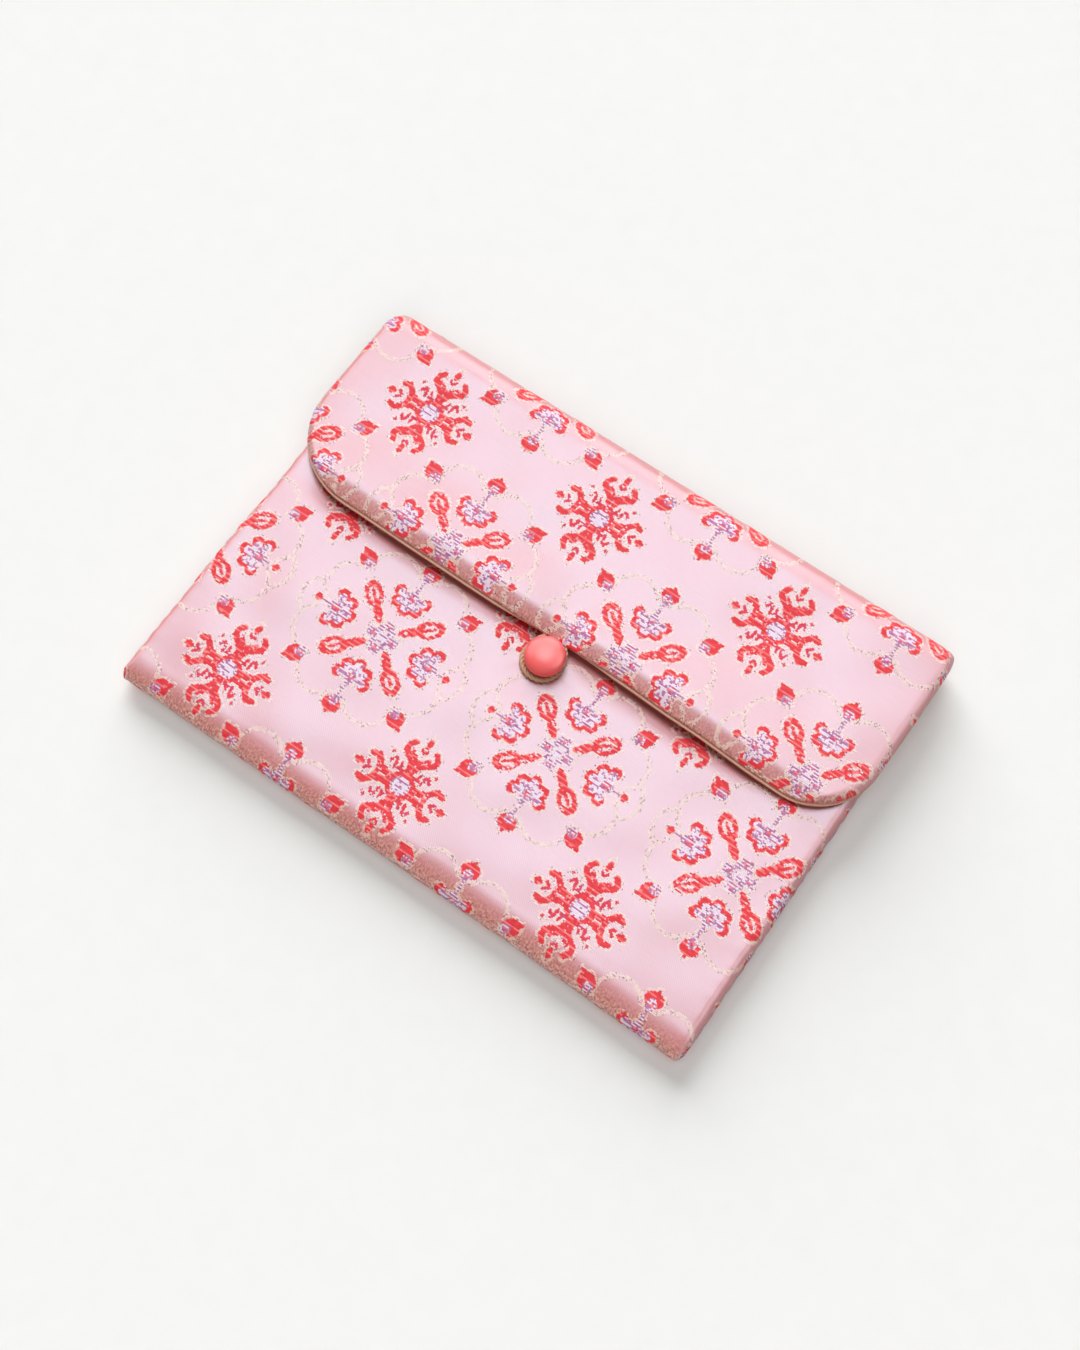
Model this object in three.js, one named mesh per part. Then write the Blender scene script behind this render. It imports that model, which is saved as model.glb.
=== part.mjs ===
// A brocade flap pouch lying closed on its back.
// X runs across the pouch, Y from the bottom fold to the top fold, Z up from the floor, in millimetres.
import * as THREE from "three";

// Room left between pieces that touch.
const GAP = 0.3;

// The bag: front, bottom fold and back are one strip of cloth, closed by a seam at each side.
const POCKET = {
  centreX: 1.3,
  halfWidth: 99.45,
  bottomY: -72.3,
  rightSag: 0.8,
  sagFromX: 30,
  frontMouthY: 61,
  backMouthY: 62,
  height: 8.9,
  crown: 0.5,
  seamZ: 4.2,
  wall: 1.5,
  seamWall: 2.2,
  sideRoll: 3,
  bottomRoll: 9,
  cornerPower: 4,
};

// The flap: it leaves the back, turns at the top fold and lies down over the front.
const FLAP = {
  halfWidth: 102.45,
  rightTaper: 0.7,
  topY: 73.1,
  foldReach: 9.1,
  topCorner: { left: 3.3, right: 1.7 },
  cloth: 2.2,
  lining: 1,
  liningShows: 0.6,
  tuckReach: 24,
  edgeRoll: 3.2,
  edgeCurl: 0.8,
  thinnestEdge: 0.5,
  loft: 0.6,
  liftReach: 28,
  sideDroop: 0.6,
  droopReach: 14,
};
const FLAP_STACK = FLAP.lining + GAP + FLAP.cloth;
const FOLD_Y = FLAP.topY - FLAP.foldReach;

// The lower edge of the flap: its height on the front and how far it stands off, from left to right.
const FLAP_EDGE = [
  { x: -102, y: 8.4, lift: 0.6 },
  { x: -75, y: 8.3, lift: 1.8 },
  { x: -50, y: 7.7, lift: 2.3 },
  { x: -14, y: 7.6, lift: 1.6 },
  { x: 4, y: 7.9, lift: 0.6 },
  { x: 19, y: 8.2, lift: 1.4 },
  { x: 50, y: 7.3, lift: 1.9 },
  { x: 75, y: 6.5, lift: 1.3 },
  { x: 102, y: 6.5, lift: 0.5 },
];

// The round lower corners of the flap, across and up.
const FLAP_CORNER = {
  left: { across: 28, up: 26 },
  right: { across: 20, up: 20 },
};

// Soft dents of the front, each a shallow oval bowl.
const FRONT_DENTS = [
  { x: 3.5, y: -2, across: 24, up: 17, depth: 0.55 },
  { x: -58, y: -42, across: 34, up: 20, depth: 0.35 },
  { x: 52, y: -34, across: 30, up: 24, depth: 0.3 },
  { x: -12, y: -60, across: 30, up: 14, depth: 0.3 },
];

// Places where the flap lies closer to the front, as shares of its loft.
const FLAP_DENTS = [
  { x: 0, y: 20, across: 16, up: 26, depth: 0.95 },
  { x: -62, y: 48, across: 32, up: 18, depth: 0.6 },
  { x: 58, y: 46, across: 36, up: 20, depth: 0.6 },
];

const BUTTON = {
  x: 3.4,
  y: 1.7,
  capRadius: 6.25,
  lipRadius: 5.7,
  lipZ: 0.8,
  shankRadius: 3.6,
  shankHeight: 3,
  wallZ: 2.9,
  shoulderRadius: 4.7,
  shoulderZ: 3.55,
  crownRadius: 2.9,
  capHeight: 4.3,
  curveSteps: 4,
  sides: 32,
};

const LOOP = {
  x: 2.9,
  y: 1.2,
  cordRadius: 0.85,
  ringRadius: 6.1,
  endHalfSpan: 3.3,
  climbShare: 0.16,
  steps: 34,
  cordSides: 8,
};

// How finely the cloth is divided, in cells.
const CELLS = {
  pocketFlat: { across: 16, up: 13 },
  pocketHollow: { up: 9 },
  roll: 5,
  flap: { across: 24, fold: 10, run: 12, back: 2 },
  lining: { across: 30, fold: 7, run: 8, back: 1 },
  closerAtSides: 0.75,
  closerAtEdge: 1.7,
};

const CLOTH_PINK = new THREE.MeshStandardMaterial({ color: 0xf2c8d8, roughness: 0.55, metalness: 0 });
const LINING_TAN = new THREE.MeshStandardMaterial({ color: 0xd9b299, roughness: 0.75, metalness: 0 });
const CORAL = new THREE.MeshStandardMaterial({ color: 0xf2655c, roughness: 0.35, metalness: 0 });
const CORD_BEIGE = new THREE.MeshStandardMaterial({ color: 0xd2a98a, roughness: 0.7, metalness: 0 });

/** A smooth step from 0 to 1. */
function ease(share) {
  const s = THREE.MathUtils.clamp(share, 0, 1);
  return s * s * (3 - 2 * s);
}

/** A column of a table read between its rows, which are in order of x. */
function readTable(table, column, x) {
  const next = table.findIndex((row) => row.x >= x);
  if (next === 0) return table[0][column];
  if (next < 0) return table[table.length - 1][column];
  const [from, to] = [table[next - 1], table[next]];
  return THREE.MathUtils.lerp(from[column], to[column], ease((x - from.x) / (to.x - from.x)));
}

/** The sum of the oval bowls of a table at a place. */
function dentAt(table, x, y) {
  return table.reduce((sum, dent) => {
    const away = Math.hypot((x - dent.x) / dent.across, (y - dent.y) / dent.up);
    return sum + dent.depth * (1 - ease(away));
  }, 0);
}

/** The height of the front, before its crown is dented. */
function frontCrown(x) {
  const share = (x - POCKET.centreX) / POCKET.halfWidth;
  return POCKET.height + POCKET.crown * Math.max(0, 1 - share * share);
}

/** The height of the front's outer face away from its rolled edges. */
function frontFace(x, y) {
  return frontCrown(x) - dentAt(FRONT_DENTS, x, y);
}

/** How much lower the bottom fold hangs towards the right. */
function bottomSag(x) {
  return POCKET.rightSag * ease((x - POCKET.sagFromX) / (POCKET.halfWidth - POCKET.sagFromX));
}

/** A closed mesh from triangles of points, with the points that coincide merged. */
function solid(name, triangles, material) {
  const places = [];
  const known = new Map();
  const indexOf = (point) => {
    const key = point.map((value) => value.toFixed(4)).join(" ");
    if (!known.has(key)) {
      known.set(key, places.length / 3);
      places.push(...point);
    }
    return known.get(key);
  };
  const faces = triangles
    .map((corners) => corners.map(indexOf))
    .filter(([a, b, c]) => a !== b && b !== c && c !== a);
  const geometry = new THREE.BufferGeometry();
  geometry.setAttribute("position", new THREE.Float32BufferAttribute(places, 3));
  geometry.setIndex(faces.flat());
  geometry.computeVertexNormals();
  const mesh = new THREE.Mesh(geometry, material);
  mesh.name = name;
  return mesh;
}

/** The triangles between two rows of points, wound so that they face left of the way from row to row. */
function strip(near, far, turned) {
  const triangles = [];
  for (let i = 0; i + 1 < near.length; i += 1) {
    const cell = [near[i], near[i + 1], far[i + 1], far[i]];
    if (turned) cell.reverse();
    triangles.push([cell[0], cell[1], cell[2]], [cell[0], cell[2], cell[3]]);
  }
  return triangles;
}

/** The triangles of a grid given as rows of points. */
function sheet(rows, turned) {
  return rows.slice(1).flatMap((row, j) => strip(rows[j], row, turned));
}

/** Where the pocket's columns lie: a flat middle and a roll at each side, as the turn of the roll. */
function pocketColumns() {
  const turns = Array.from({ length: CELLS.roll }, (_, k) => ((k + 1) / CELLS.roll) * (Math.PI / 2));
  const flat = Array.from({ length: CELLS.pocketFlat.across + 1 }, (_, k) => ({
    flat: -1 + (2 * k) / CELLS.pocketFlat.across,
    turn: 0,
  }));
  const left = turns.map((turn) => ({ flat: -1, turn })).reverse();
  const right = turns.map((turn) => ({ flat: 1, turn }));
  return [...left, ...flat, ...right];
}

/** One face of the pocket as rows of points, from the mouth down to the bottom fold. */
function pocketFace(skin, face) {
  const power = POCKET.cornerPower;
  const rowCount = skin.flatRows;
  const turns = Array.from({ length: CELLS.roll }, (_, k) => ((k + 1) / CELLS.roll) * (Math.PI / 2));
  const rows = [
    ...Array.from({ length: rowCount + 1 }, (_, k) => ({ down: k / rowCount, turn: 0 })),
    ...turns.map((turn) => ({ down: 1, turn })),
  ];
  const flatHalf = skin.halfWidth - skin.sideRoll;
  const rollTop = skin.bottomY + skin.bottomRoll;
  const seamMouth = (POCKET.frontMouthY + POCKET.backMouthY) / 2;
  return rows.map((row) => {
    const down = Math.sin(row.turn);
    const reach = (1 - down ** power) ** (1 / power);
    return pocketColumns().map((column) => {
      const out = reach * Math.sin(column.turn);
      const x = POCKET.centreX + column.flat * (flatHalf + skin.sideRoll * out);
      const mouth = THREE.MathUtils.lerp(seamMouth, face.mouthY, Math.cos(column.turn));
      const y = THREE.MathUtils.lerp(mouth, rollTop - bottomSag(x), row.down) - skin.bottomRoll * down;
      const round = Math.sqrt(Math.max(0, 1 - (out ** power + down ** power) ** (2 / power)));
      const atSeam = column.turn === Math.PI / 2 || row.turn === Math.PI / 2;
      const z = atSeam ? POCKET.seamZ : THREE.MathUtils.lerp(POCKET.seamZ, face.height(x, y), round);
      return [x, y, z];
    });
  });
}

/** The hollow bag, an outer and an inner skin joined along the mouth. */
function makePocket() {
  const outer = {
    halfWidth: POCKET.halfWidth,
    bottomY: POCKET.bottomY,
    sideRoll: POCKET.sideRoll,
    bottomRoll: POCKET.bottomRoll,
    flatRows: CELLS.pocketFlat.up,
  };
  const inner = {
    halfWidth: POCKET.halfWidth - POCKET.seamWall,
    bottomY: POCKET.bottomY + POCKET.seamWall,
    sideRoll: POCKET.sideRoll - POCKET.wall,
    bottomRoll: POCKET.bottomRoll - POCKET.wall,
    flatRows: CELLS.pocketHollow.up,
  };
  const front = pocketFace(outer, { mouthY: POCKET.frontMouthY, height: frontFace });
  const back = pocketFace(outer, { mouthY: POCKET.backMouthY, height: () => 0 });
  const innerFront = pocketFace(inner, {
    mouthY: POCKET.frontMouthY,
    height: (x, y) => frontFace(x, y) - POCKET.wall,
  });
  const innerBack = pocketFace(inner, { mouthY: POCKET.backMouthY, height: () => POCKET.wall });
  const triangles = [
    ...sheet(front, true),
    ...sheet(back, false),
    ...sheet(innerFront, false),
    ...sheet(innerBack, true),
    ...strip(innerFront[0], front[0], true),
    ...strip(innerBack[0], back[0], false),
  ];
  return solid("pocket", triangles, CLOTH_PINK);
}

/** How high the flap's lining lies over the front at a place. */
function flapUnderside(x, y) {
  const above = y - readTable(FLAP_EDGE, "y", x);
  const lift = readTable(FLAP_EDGE, "lift", x) * (1 - ease(above / FLAP.liftReach));
  const loft = FLAP.loft * Math.max(0, 1 - dentAt(FLAP_DENTS, x, y));
  const overSide = Math.max(0, Math.abs(x) - FLAP.halfWidth + FLAP.droopReach) / FLAP.droopReach;
  return frontCrown(x) + GAP + loft + lift - FLAP.sideDroop * overSide * overSide;
}

/** How far the lining shows below the brocade's edge. It is tucked in where the loop is sewn on. */
function liningPeek(x) {
  const tucked = 1 - ease(Math.abs(x - LOOP.x) / FLAP.tuckReach);
  return THREE.MathUtils.lerp(FLAP.liningShows, -2 * GAP, tucked);
}

/** The left and right edge of a layer of the flap that hangs so far below the brocade, a way above its lower edge. */
function flapSides(above, below) {
  const round = (corner) => {
    const short = Math.max(0, 1 - above / (corner.up + below));
    return corner.across * (1 - Math.sqrt(1 - short * short));
  };
  const taper = FLAP.rightTaper * (1 - ease(above / (FOLD_Y - FLAP_CORNER.right.up)));
  return {
    left: -FLAP.halfWidth + round(FLAP_CORNER.left),
    right: FLAP.halfWidth - taper - round(FLAP_CORNER.right),
  };
}

/** How far the flap curls down towards the front, a way in from its free edge. */
function edgeCurl(away) {
  return FLAP.edgeCurl * (1 - ease(away / FLAP.edgeRoll));
}

/** Spacing of the columns from 0 to 1, closer near both edges. */
function edgeSpacing(cells) {
  return Array.from({ length: cells + 1 }, (_, k) => {
    const even = k / cells;
    return THREE.MathUtils.lerp(even, (1 - Math.cos(Math.PI * even)) / 2, CELLS.closerAtSides);
  });
}

/** The rows of a layer of the flap: up the front, round the top fold and down the back. */
function flapRows(cells, backEnd) {
  const run = Array.from({ length: cells.run + 1 }, (_, k) => ({
    run: (k / cells.run) ** CELLS.closerAtEdge,
    turn: 0,
    back: 0,
  }));
  const fold = Array.from({ length: cells.fold }, (_, k) => ({
    run: 1,
    turn: ((k + 1) / cells.fold) * Math.PI,
    back: 0,
  }));
  const back = Array.from({ length: cells.back }, (_, k) => ({
    run: 1,
    turn: Math.PI,
    back: ((k + 1) / cells.back) * (FOLD_Y - backEnd),
  }));
  return [...run, ...fold, ...back];
}

/** One face of a layer of the flap, lifted off the lining's underside by a height for each place. */
function flapFace(layer, heightAt) {
  const below = layer.peekAt(-FLAP.halfWidth);
  const reachUp = FOLD_Y - readTable(FLAP_EDGE, "y", 0) + below;
  return flapRows(layer.cells, layer.backEnd).map((row) => {
    const above = row.run * reachUp;
    const sides = flapSides(above, below);
    const crest = 1 - Math.sqrt(1 - Math.sin(row.turn) ** 4);
    const behind = ease(row.turn / Math.PI);
    const leftOf = THREE.MathUtils.lerp(sides.left, POCKET.centreX - POCKET.halfWidth, behind);
    const rightOf = THREE.MathUtils.lerp(sides.right, POCKET.centreX + POCKET.halfWidth, behind);
    const left = leftOf + FLAP.topCorner.left * crest;
    const right = rightOf - FLAP.topCorner.right * crest;
    return edgeSpacing(layer.cells.across).map((share) => {
      const x = THREE.MathUtils.lerp(left, right, share);
      const start = readTable(FLAP_EDGE, "y", x) - layer.peekAt(x);
      const runY = THREE.MathUtils.lerp(start, FOLD_Y, row.run);
      const fromEdge = row.turn > 0 ? FOLD_Y : above - below;
      const away = Math.min(fromEdge, x - leftOf, rightOf - x);
      const height = heightAt(away) - edgeCurl(away) * Math.max(0, Math.cos(row.turn));
      const backZ = FLAP_STACK - height;
      const topZ = flapUnderside(x, runY) + height;
      const reach = FLAP.foldReach - FLAP_STACK + height;
      const y = runY + reach * Math.sin(row.turn) - row.back;
      const z = (topZ + backZ) / 2 + ((topZ - backZ) / 2) * Math.cos(row.turn);
      return [x, y, z];
    });
  });
}

/** A layer of the flap between two faces, closed all round its edge. */
function flapLayer(name, layer, lowerAt, upperAt, material) {
  const lower = flapFace(layer, lowerAt);
  const upper = flapFace(layer, upperAt);
  const side = (rows, k) => rows.map((row) => row[k]);
  const last = layer.cells.across;
  const triangles = [
    ...sheet(upper, false),
    ...sheet(lower, true),
    ...strip(lower[0], upper[0], false),
    ...strip(upper.at(-1), lower.at(-1), false),
    ...strip(side(upper, 0), side(lower, 0), false),
    ...strip(side(lower, last), side(upper, last), false),
  ];
  return solid(name, triangles, material);
}

/** The brocade of the flap, its outer face rolled down to the edge. */
function makeFlap() {
  const layer = { cells: CELLS.flap, peekAt: () => 0, backEnd: POCKET.backMouthY + GAP };
  const foot = FLAP.lining + GAP;
  const rolled = (away) => {
    const flat = 1 - THREE.MathUtils.clamp(away / FLAP.edgeRoll, 0, 1);
    return foot + THREE.MathUtils.lerp(FLAP.thinnestEdge, FLAP.cloth, Math.sqrt(1 - flat * flat));
  };
  return flapLayer("flap", layer, () => foot, rolled, CLOTH_PINK);
}

/** The plain cloth under the flap. */
function makeFlapLining() {
  const layer = { cells: CELLS.lining, peekAt: liningPeek, backEnd: POCKET.backMouthY + FLAP.lining };
  return flapLayer("flap_lining", layer, () => 0, () => FLAP.lining, LINING_TAN);
}

/** The domed button, turned about its own upright axis, with its shank on the front. */
function makeButton() {
  const foot = BUTTON.shankHeight;
  const top = foot + BUTTON.capHeight;
  const { capRadius, lipRadius, shankRadius, shoulderRadius, crownRadius } = BUTTON;
  const profile = new THREE.Path();
  profile.moveTo(0, GAP);
  profile.lineTo(shankRadius, GAP);
  profile.lineTo(shankRadius, foot);
  profile.lineTo(lipRadius, foot);
  profile.quadraticCurveTo(capRadius, foot, capRadius, foot + BUTTON.lipZ);
  profile.quadraticCurveTo(capRadius, foot + BUTTON.wallZ, shoulderRadius, foot + BUTTON.shoulderZ);
  profile.quadraticCurveTo(crownRadius, top, 0, top);
  const geometry = new THREE.LatheGeometry(profile.getPoints(BUTTON.curveSteps), BUTTON.sides);
  geometry.rotateX(Math.PI / 2);
  const mesh = new THREE.Mesh(geometry, CORAL);
  mesh.name = "button";
  mesh.position.set(BUTTON.x, BUTTON.y, frontFace(BUTTON.x, BUTTON.y));
  return mesh;
}

/** The middle line of the loop: from the flap's edge round the shank and back to the edge. */
function loopCurve() {
  const edgeY = readTable(FLAP_EDGE, "y", LOOP.x) - GAP;
  const edgeZ = flapUnderside(LOOP.x, edgeY) - FLAP.edgeCurl + FLAP.lining + GAP / 2;
  const lowZ = frontFace(LOOP.x, LOOP.y) + GAP + LOOP.cordRadius;
  const rise = edgeY - LOOP.y - Math.sqrt(LOOP.ringRadius ** 2 - LOOP.endHalfSpan ** 2);
  const start = Math.asin(LOOP.endHalfSpan / LOOP.ringRadius);
  const points = Array.from({ length: LOOP.steps + 1 }, (_, k) => {
    const share = k / LOOP.steps;
    const turn = start + share * 2 * (Math.PI - start);
    const nearEnd = 1 - ease(Math.min(share, 1 - share) / LOOP.climbShare);
    return new THREE.Vector3(
      LOOP.x - LOOP.ringRadius * Math.sin(turn),
      LOOP.y + LOOP.ringRadius * Math.cos(turn) + rise * nearEnd,
      THREE.MathUtils.lerp(lowZ, edgeZ, nearEnd),
    );
  });
  return new THREE.CatmullRomCurve3(points);
}

/** The cord of the loop. */
function makeButtonLoop() {
  const section = new THREE.Shape();
  for (let k = 0; k < LOOP.cordSides; k += 1) {
    const turn = (k / LOOP.cordSides) * 2 * Math.PI;
    const [x, y] = [LOOP.cordRadius * Math.cos(turn), LOOP.cordRadius * Math.sin(turn)];
    if (k === 0) section.moveTo(x, y);
    else section.lineTo(x, y);
  }
  const geometry = new THREE.ExtrudeGeometry(section, {
    steps: LOOP.steps,
    extrudePath: loopCurve(),
    bevelEnabled: false,
  });
  const mesh = new THREE.Mesh(geometry, CORD_BEIGE);
  mesh.name = "button_loop";
  return mesh;
}

const pouch = new THREE.Group();
pouch.add(makePocket(), makeFlap(), makeFlapLining(), makeButton(), makeButtonLoop());

export default pouch;
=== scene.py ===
"""The looks of a brocade flap pouch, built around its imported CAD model.

The brocade is made the way it is woven: a plain satin ground, and motifs of coloured weft floats that are
laid over it from a chart of one repeat. Sizes are in millimetres, and meshes in metres in the CAD frame.
"""

from __future__ import annotations

import logging
import math
from collections.abc import Callable
from dataclasses import dataclass
from enum import Enum, IntEnum

import bpy
import numpy as np
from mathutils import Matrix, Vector


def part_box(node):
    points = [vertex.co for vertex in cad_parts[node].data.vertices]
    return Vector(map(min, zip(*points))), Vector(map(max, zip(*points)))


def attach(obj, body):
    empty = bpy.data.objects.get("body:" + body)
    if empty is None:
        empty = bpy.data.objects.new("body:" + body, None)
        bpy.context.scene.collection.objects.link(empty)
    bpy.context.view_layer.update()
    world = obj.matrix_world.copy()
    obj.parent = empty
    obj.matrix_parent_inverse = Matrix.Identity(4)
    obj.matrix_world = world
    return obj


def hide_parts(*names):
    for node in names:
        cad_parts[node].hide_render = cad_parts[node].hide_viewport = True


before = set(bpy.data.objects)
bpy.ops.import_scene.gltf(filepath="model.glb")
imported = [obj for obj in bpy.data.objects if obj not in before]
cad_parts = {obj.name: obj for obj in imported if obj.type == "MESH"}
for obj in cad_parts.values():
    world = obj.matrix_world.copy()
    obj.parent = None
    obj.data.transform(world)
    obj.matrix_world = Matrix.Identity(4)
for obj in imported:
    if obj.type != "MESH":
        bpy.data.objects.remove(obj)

Array = np.ndarray
Socket = bpy.types.NodeSocket
Material = bpy.types.Material
Piece = bpy.types.Object
Wires = dict[str | int, object]
Colour = tuple[float, float, float, float]
Span = tuple[float, float]
Point = tuple[float, float]

LOG = logging.getLogger("pouch")
MM = 0.001
GAP = 0.3
QUARTER_TURN = math.pi / 2
WEAVE_MAP = "Weave"
BAKE_MAP = "OFBake"
BAKE_MARGIN = 0.005
ARC_STEPS = 400
TINY = 1e-9


class Slot(str, Enum):
    """The record's material slots."""

    BROCADE = "brocade"
    LINING = "lining"
    CORAL = "coral"
    CORD = "cord"


class Yarn(IntEnum):
    """The weft threads of the brocade."""

    CREAM = 0
    WHITE = 1
    LILAC = 2
    CRIMSON = 3
    ROSE = 4
    RED = 5
    # painted shade: short dark specks, woven like a thread, for the tiny shadows beside raised floats
    SHADE_SPECK = 6


class Area(IntEnum):
    """The kinds of area in the chart of the brocade."""

    GROUND = 0
    HALO = 1
    FRAME = 2
    PALE = 3
    LILAC = 4
    CORE = 5
    HOOK = 6
    PETAL = 7
    RED = 8


class Bands(str, Enum):
    """What fine bands on the cloth show."""

    WARP = "X"
    WEFT = "Y"
    TWILL = "DIAGONAL"


class Sum(str, Enum):
    """How two values are joined."""

    ADD = "ADD"
    MULTIPLY = "MULTIPLY"


def ease(share: Array | float) -> Array:
    """A smooth step from 0 to 1."""
    held = np.clip(share, 0.0, 1.0)
    return held * held * (3.0 - 2.0 * held)


def mix(first: Array | float, second: Array | float, share: Array | float) -> Array:
    """The value a share of the way from first to second."""
    return first + (second - first) * share


def corners(node: str) -> tuple[Array, Array]:
    """The lowest and highest corner of a CAD node, in millimetres."""
    low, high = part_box(node)
    return np.array(low) / MM, np.array(high) / MM


def middle_of(node: str) -> Array:
    """The middle of a CAD node, in millimetres."""
    low, high = corners(node)
    return (low + high) / 2


def placed(name: str, data: bpy.types.ID) -> Piece:
    """A new object in the scene.

    Args:
        name: Its name.
        data: Its mesh, light or camera.

    Returns:
        The object.
    """
    piece = bpy.data.objects.new(name, data)
    bpy.context.scene.collection.objects.link(piece)
    return piece


def paint(red: int, green: int, blue: int) -> Colour:
    """A colour for a shader from its values on a screen.

    Args:
        red: Its red, from 0 to 255.
        green: Its green.
        blue: Its blue.

    Returns:
        The colour as light, with a full alpha.
    """
    # the usual curve of screens
    screen = np.array((red, green, blue)) / 255.0
    light = np.where(screen <= 0.04045, screen / 12.92, ((screen + 0.055) / 1.055) ** 2.4)
    return (*(float(value) for value in light), 1.0)


def arc_lengths(across: float, up: float, turns: Array) -> Array:
    """How far it is round an ellipse from its flat side.

    Args:
        across: Half the ellipse's width.
        up: Half its height.
        turns: The turns to measure to.

    Returns:
        The length to each turn.
    """
    fine = np.linspace(0.0, turns.max(), ARC_STEPS)
    speed = np.hypot(across * np.cos(fine), up * np.sin(fine))
    run = np.concatenate(([0.0], np.cumsum((speed[1:] + speed[:-1]) / 2 * np.diff(fine))))
    return np.interp(turns, fine, run)


def run_along(line: Array) -> Array:
    """How far along a line each of its points lies."""
    return np.concatenate(([0.0], np.cumsum(np.linalg.norm(np.diff(line, axis=0), axis=1))))


def unit(vectors: Array) -> Array:
    """Vectors drawn out to a length of 1."""
    return vectors / np.maximum(np.linalg.norm(vectors, axis=-1, keepdims=True), TINY)


def count_along(values: Array, stops: Array) -> Array:
    """How many stops along a rising list values lie, also between two."""
    return np.interp(values, stops, np.arange(len(stops)))


def pairs(first: Array, second: Array) -> Array:
    """Two values for each place, side by side."""
    return np.stack(np.broadcast_arrays(first, second), axis=-1)


def held_in(share: Array, margin: float) -> Array:
    """Shares from 0 to 1 held in from both ends by a margin."""
    return mix(margin, 1.0 - margin, share)


def bake_square(over: Array, up: Array) -> Array:
    """Places on the unit square of the bake map, held a little in from its edge."""
    return held_in(np.clip(pairs(over, up), 0.0, 1.0), BAKE_MARGIN)


class Ripple:
    """Smooth uneven waves over a plane, the same in each run."""

    def __init__(self, seed: int, wavelength: float, waves: int = 7, spread: Span = (0.7, 1.5)) -> None:
        """Draws the waves.

        Args:
            seed: Start of the random draw.
            wavelength: Usual length of a wave, in millimetres.
            waves: How many waves are added up.
            spread: The shortest and longest wave, as shares of the usual one.
        """
        draw = np.random.default_rng(seed)
        heading = draw.uniform(0.0, math.tau, waves)
        number = math.tau / (wavelength * draw.uniform(*spread, waves))
        self.across = number * np.cos(heading)
        self.up = number * np.sin(heading)
        self.phase = draw.uniform(0.0, math.tau, waves)

    def at(self, x: Array, y: Array) -> Array:
        """The height of the waves at places, from about -1 to 1."""
        angle = np.multiply.outer(x, self.across) + np.multiply.outer(y, self.up) + self.phase
        return np.sin(angle).sum(axis=-1) / math.sqrt(2.0 * len(self.phase))


@dataclass(frozen=True)
class Dent:
    """A shallow oval bowl."""

    x: float
    y: float
    across: float
    up: float
    depth: float

    def at(self, x: Array, y: Array) -> Array:
        """The depth of the bowl at places."""
        away = np.hypot((x - self.x) / self.across, (y - self.y) / self.up)
        return self.depth * (1.0 - ease(away))


@dataclass(frozen=True)
class Spot:
    """An oval in the chart, or the rim of one."""

    area: Area
    x: float
    y: float
    across: float
    up: float
    lean: float = 0.0
    rim: float = 0.0
    beyond: float = 0.0

    def away(self, x: Array, y: Array) -> Array:
        """How far places lie outside the shape.

        Args:
            x: Places across, from the motif's middle.
            y: Places along.

        Returns:
            The distances, negative inside it.
        """
        lean = math.radians(self.lean)
        dx = x - self.x
        dy = y - self.y
        along = (dx * math.cos(lean) + dy * math.sin(lean)) / self.across
        over = (dy * math.cos(lean) - dx * math.sin(lean)) / self.up
        outside = (np.hypot(along, over) - 1.0) * min(self.across, self.up)
        if self.rim:
            outside = np.abs(outside) - self.rim
        return np.where(np.hypot(x, y) < self.beyond, np.inf, outside)


@dataclass(frozen=True)
class Trail:
    """A line in the chart, through points, that may taper from its start to its tip."""

    area: Area
    width: float
    points: tuple[Point, ...]
    tip: float | None = None

    def away(self, x: Array, y: Array) -> Array:
        """How far places lie outside the shape.

        Args:
            x: Places across, from the motif's middle.
            y: Places along.

        Returns:
            The distances, negative inside it.
        """
        tip = self.width if self.tip is None else self.tip
        widths = np.linspace(self.width, tip, len(self.points))
        outside = np.full(x.shape, np.inf)
        for k, (start, end) in enumerate(zip(self.points, self.points[1:])):
            run = np.subtract(end, start)
            share = np.clip(((x - start[0]) * run[0] + (y - start[1]) * run[1]) / (run @ run), 0.0, 1.0)
            away = np.hypot(x - start[0] - share * run[0], y - start[1] - share * run[1])
            outside = np.minimum(outside, away - mix(widths[k], widths[k + 1], share))
        return outside


@dataclass(frozen=True)
class Block:
    """A rectangle in the chart, by its middle and half sizes."""

    area: Area
    x: float
    y: float
    across: float
    up: float

    def away(self, x: Array, y: Array) -> Array:
        """How far places lie outside the shape, negative inside it."""
        return np.maximum(np.abs(x - self.x) - self.across, np.abs(y - self.y) - self.up)


Shape = Spot | Trail | Block

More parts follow.
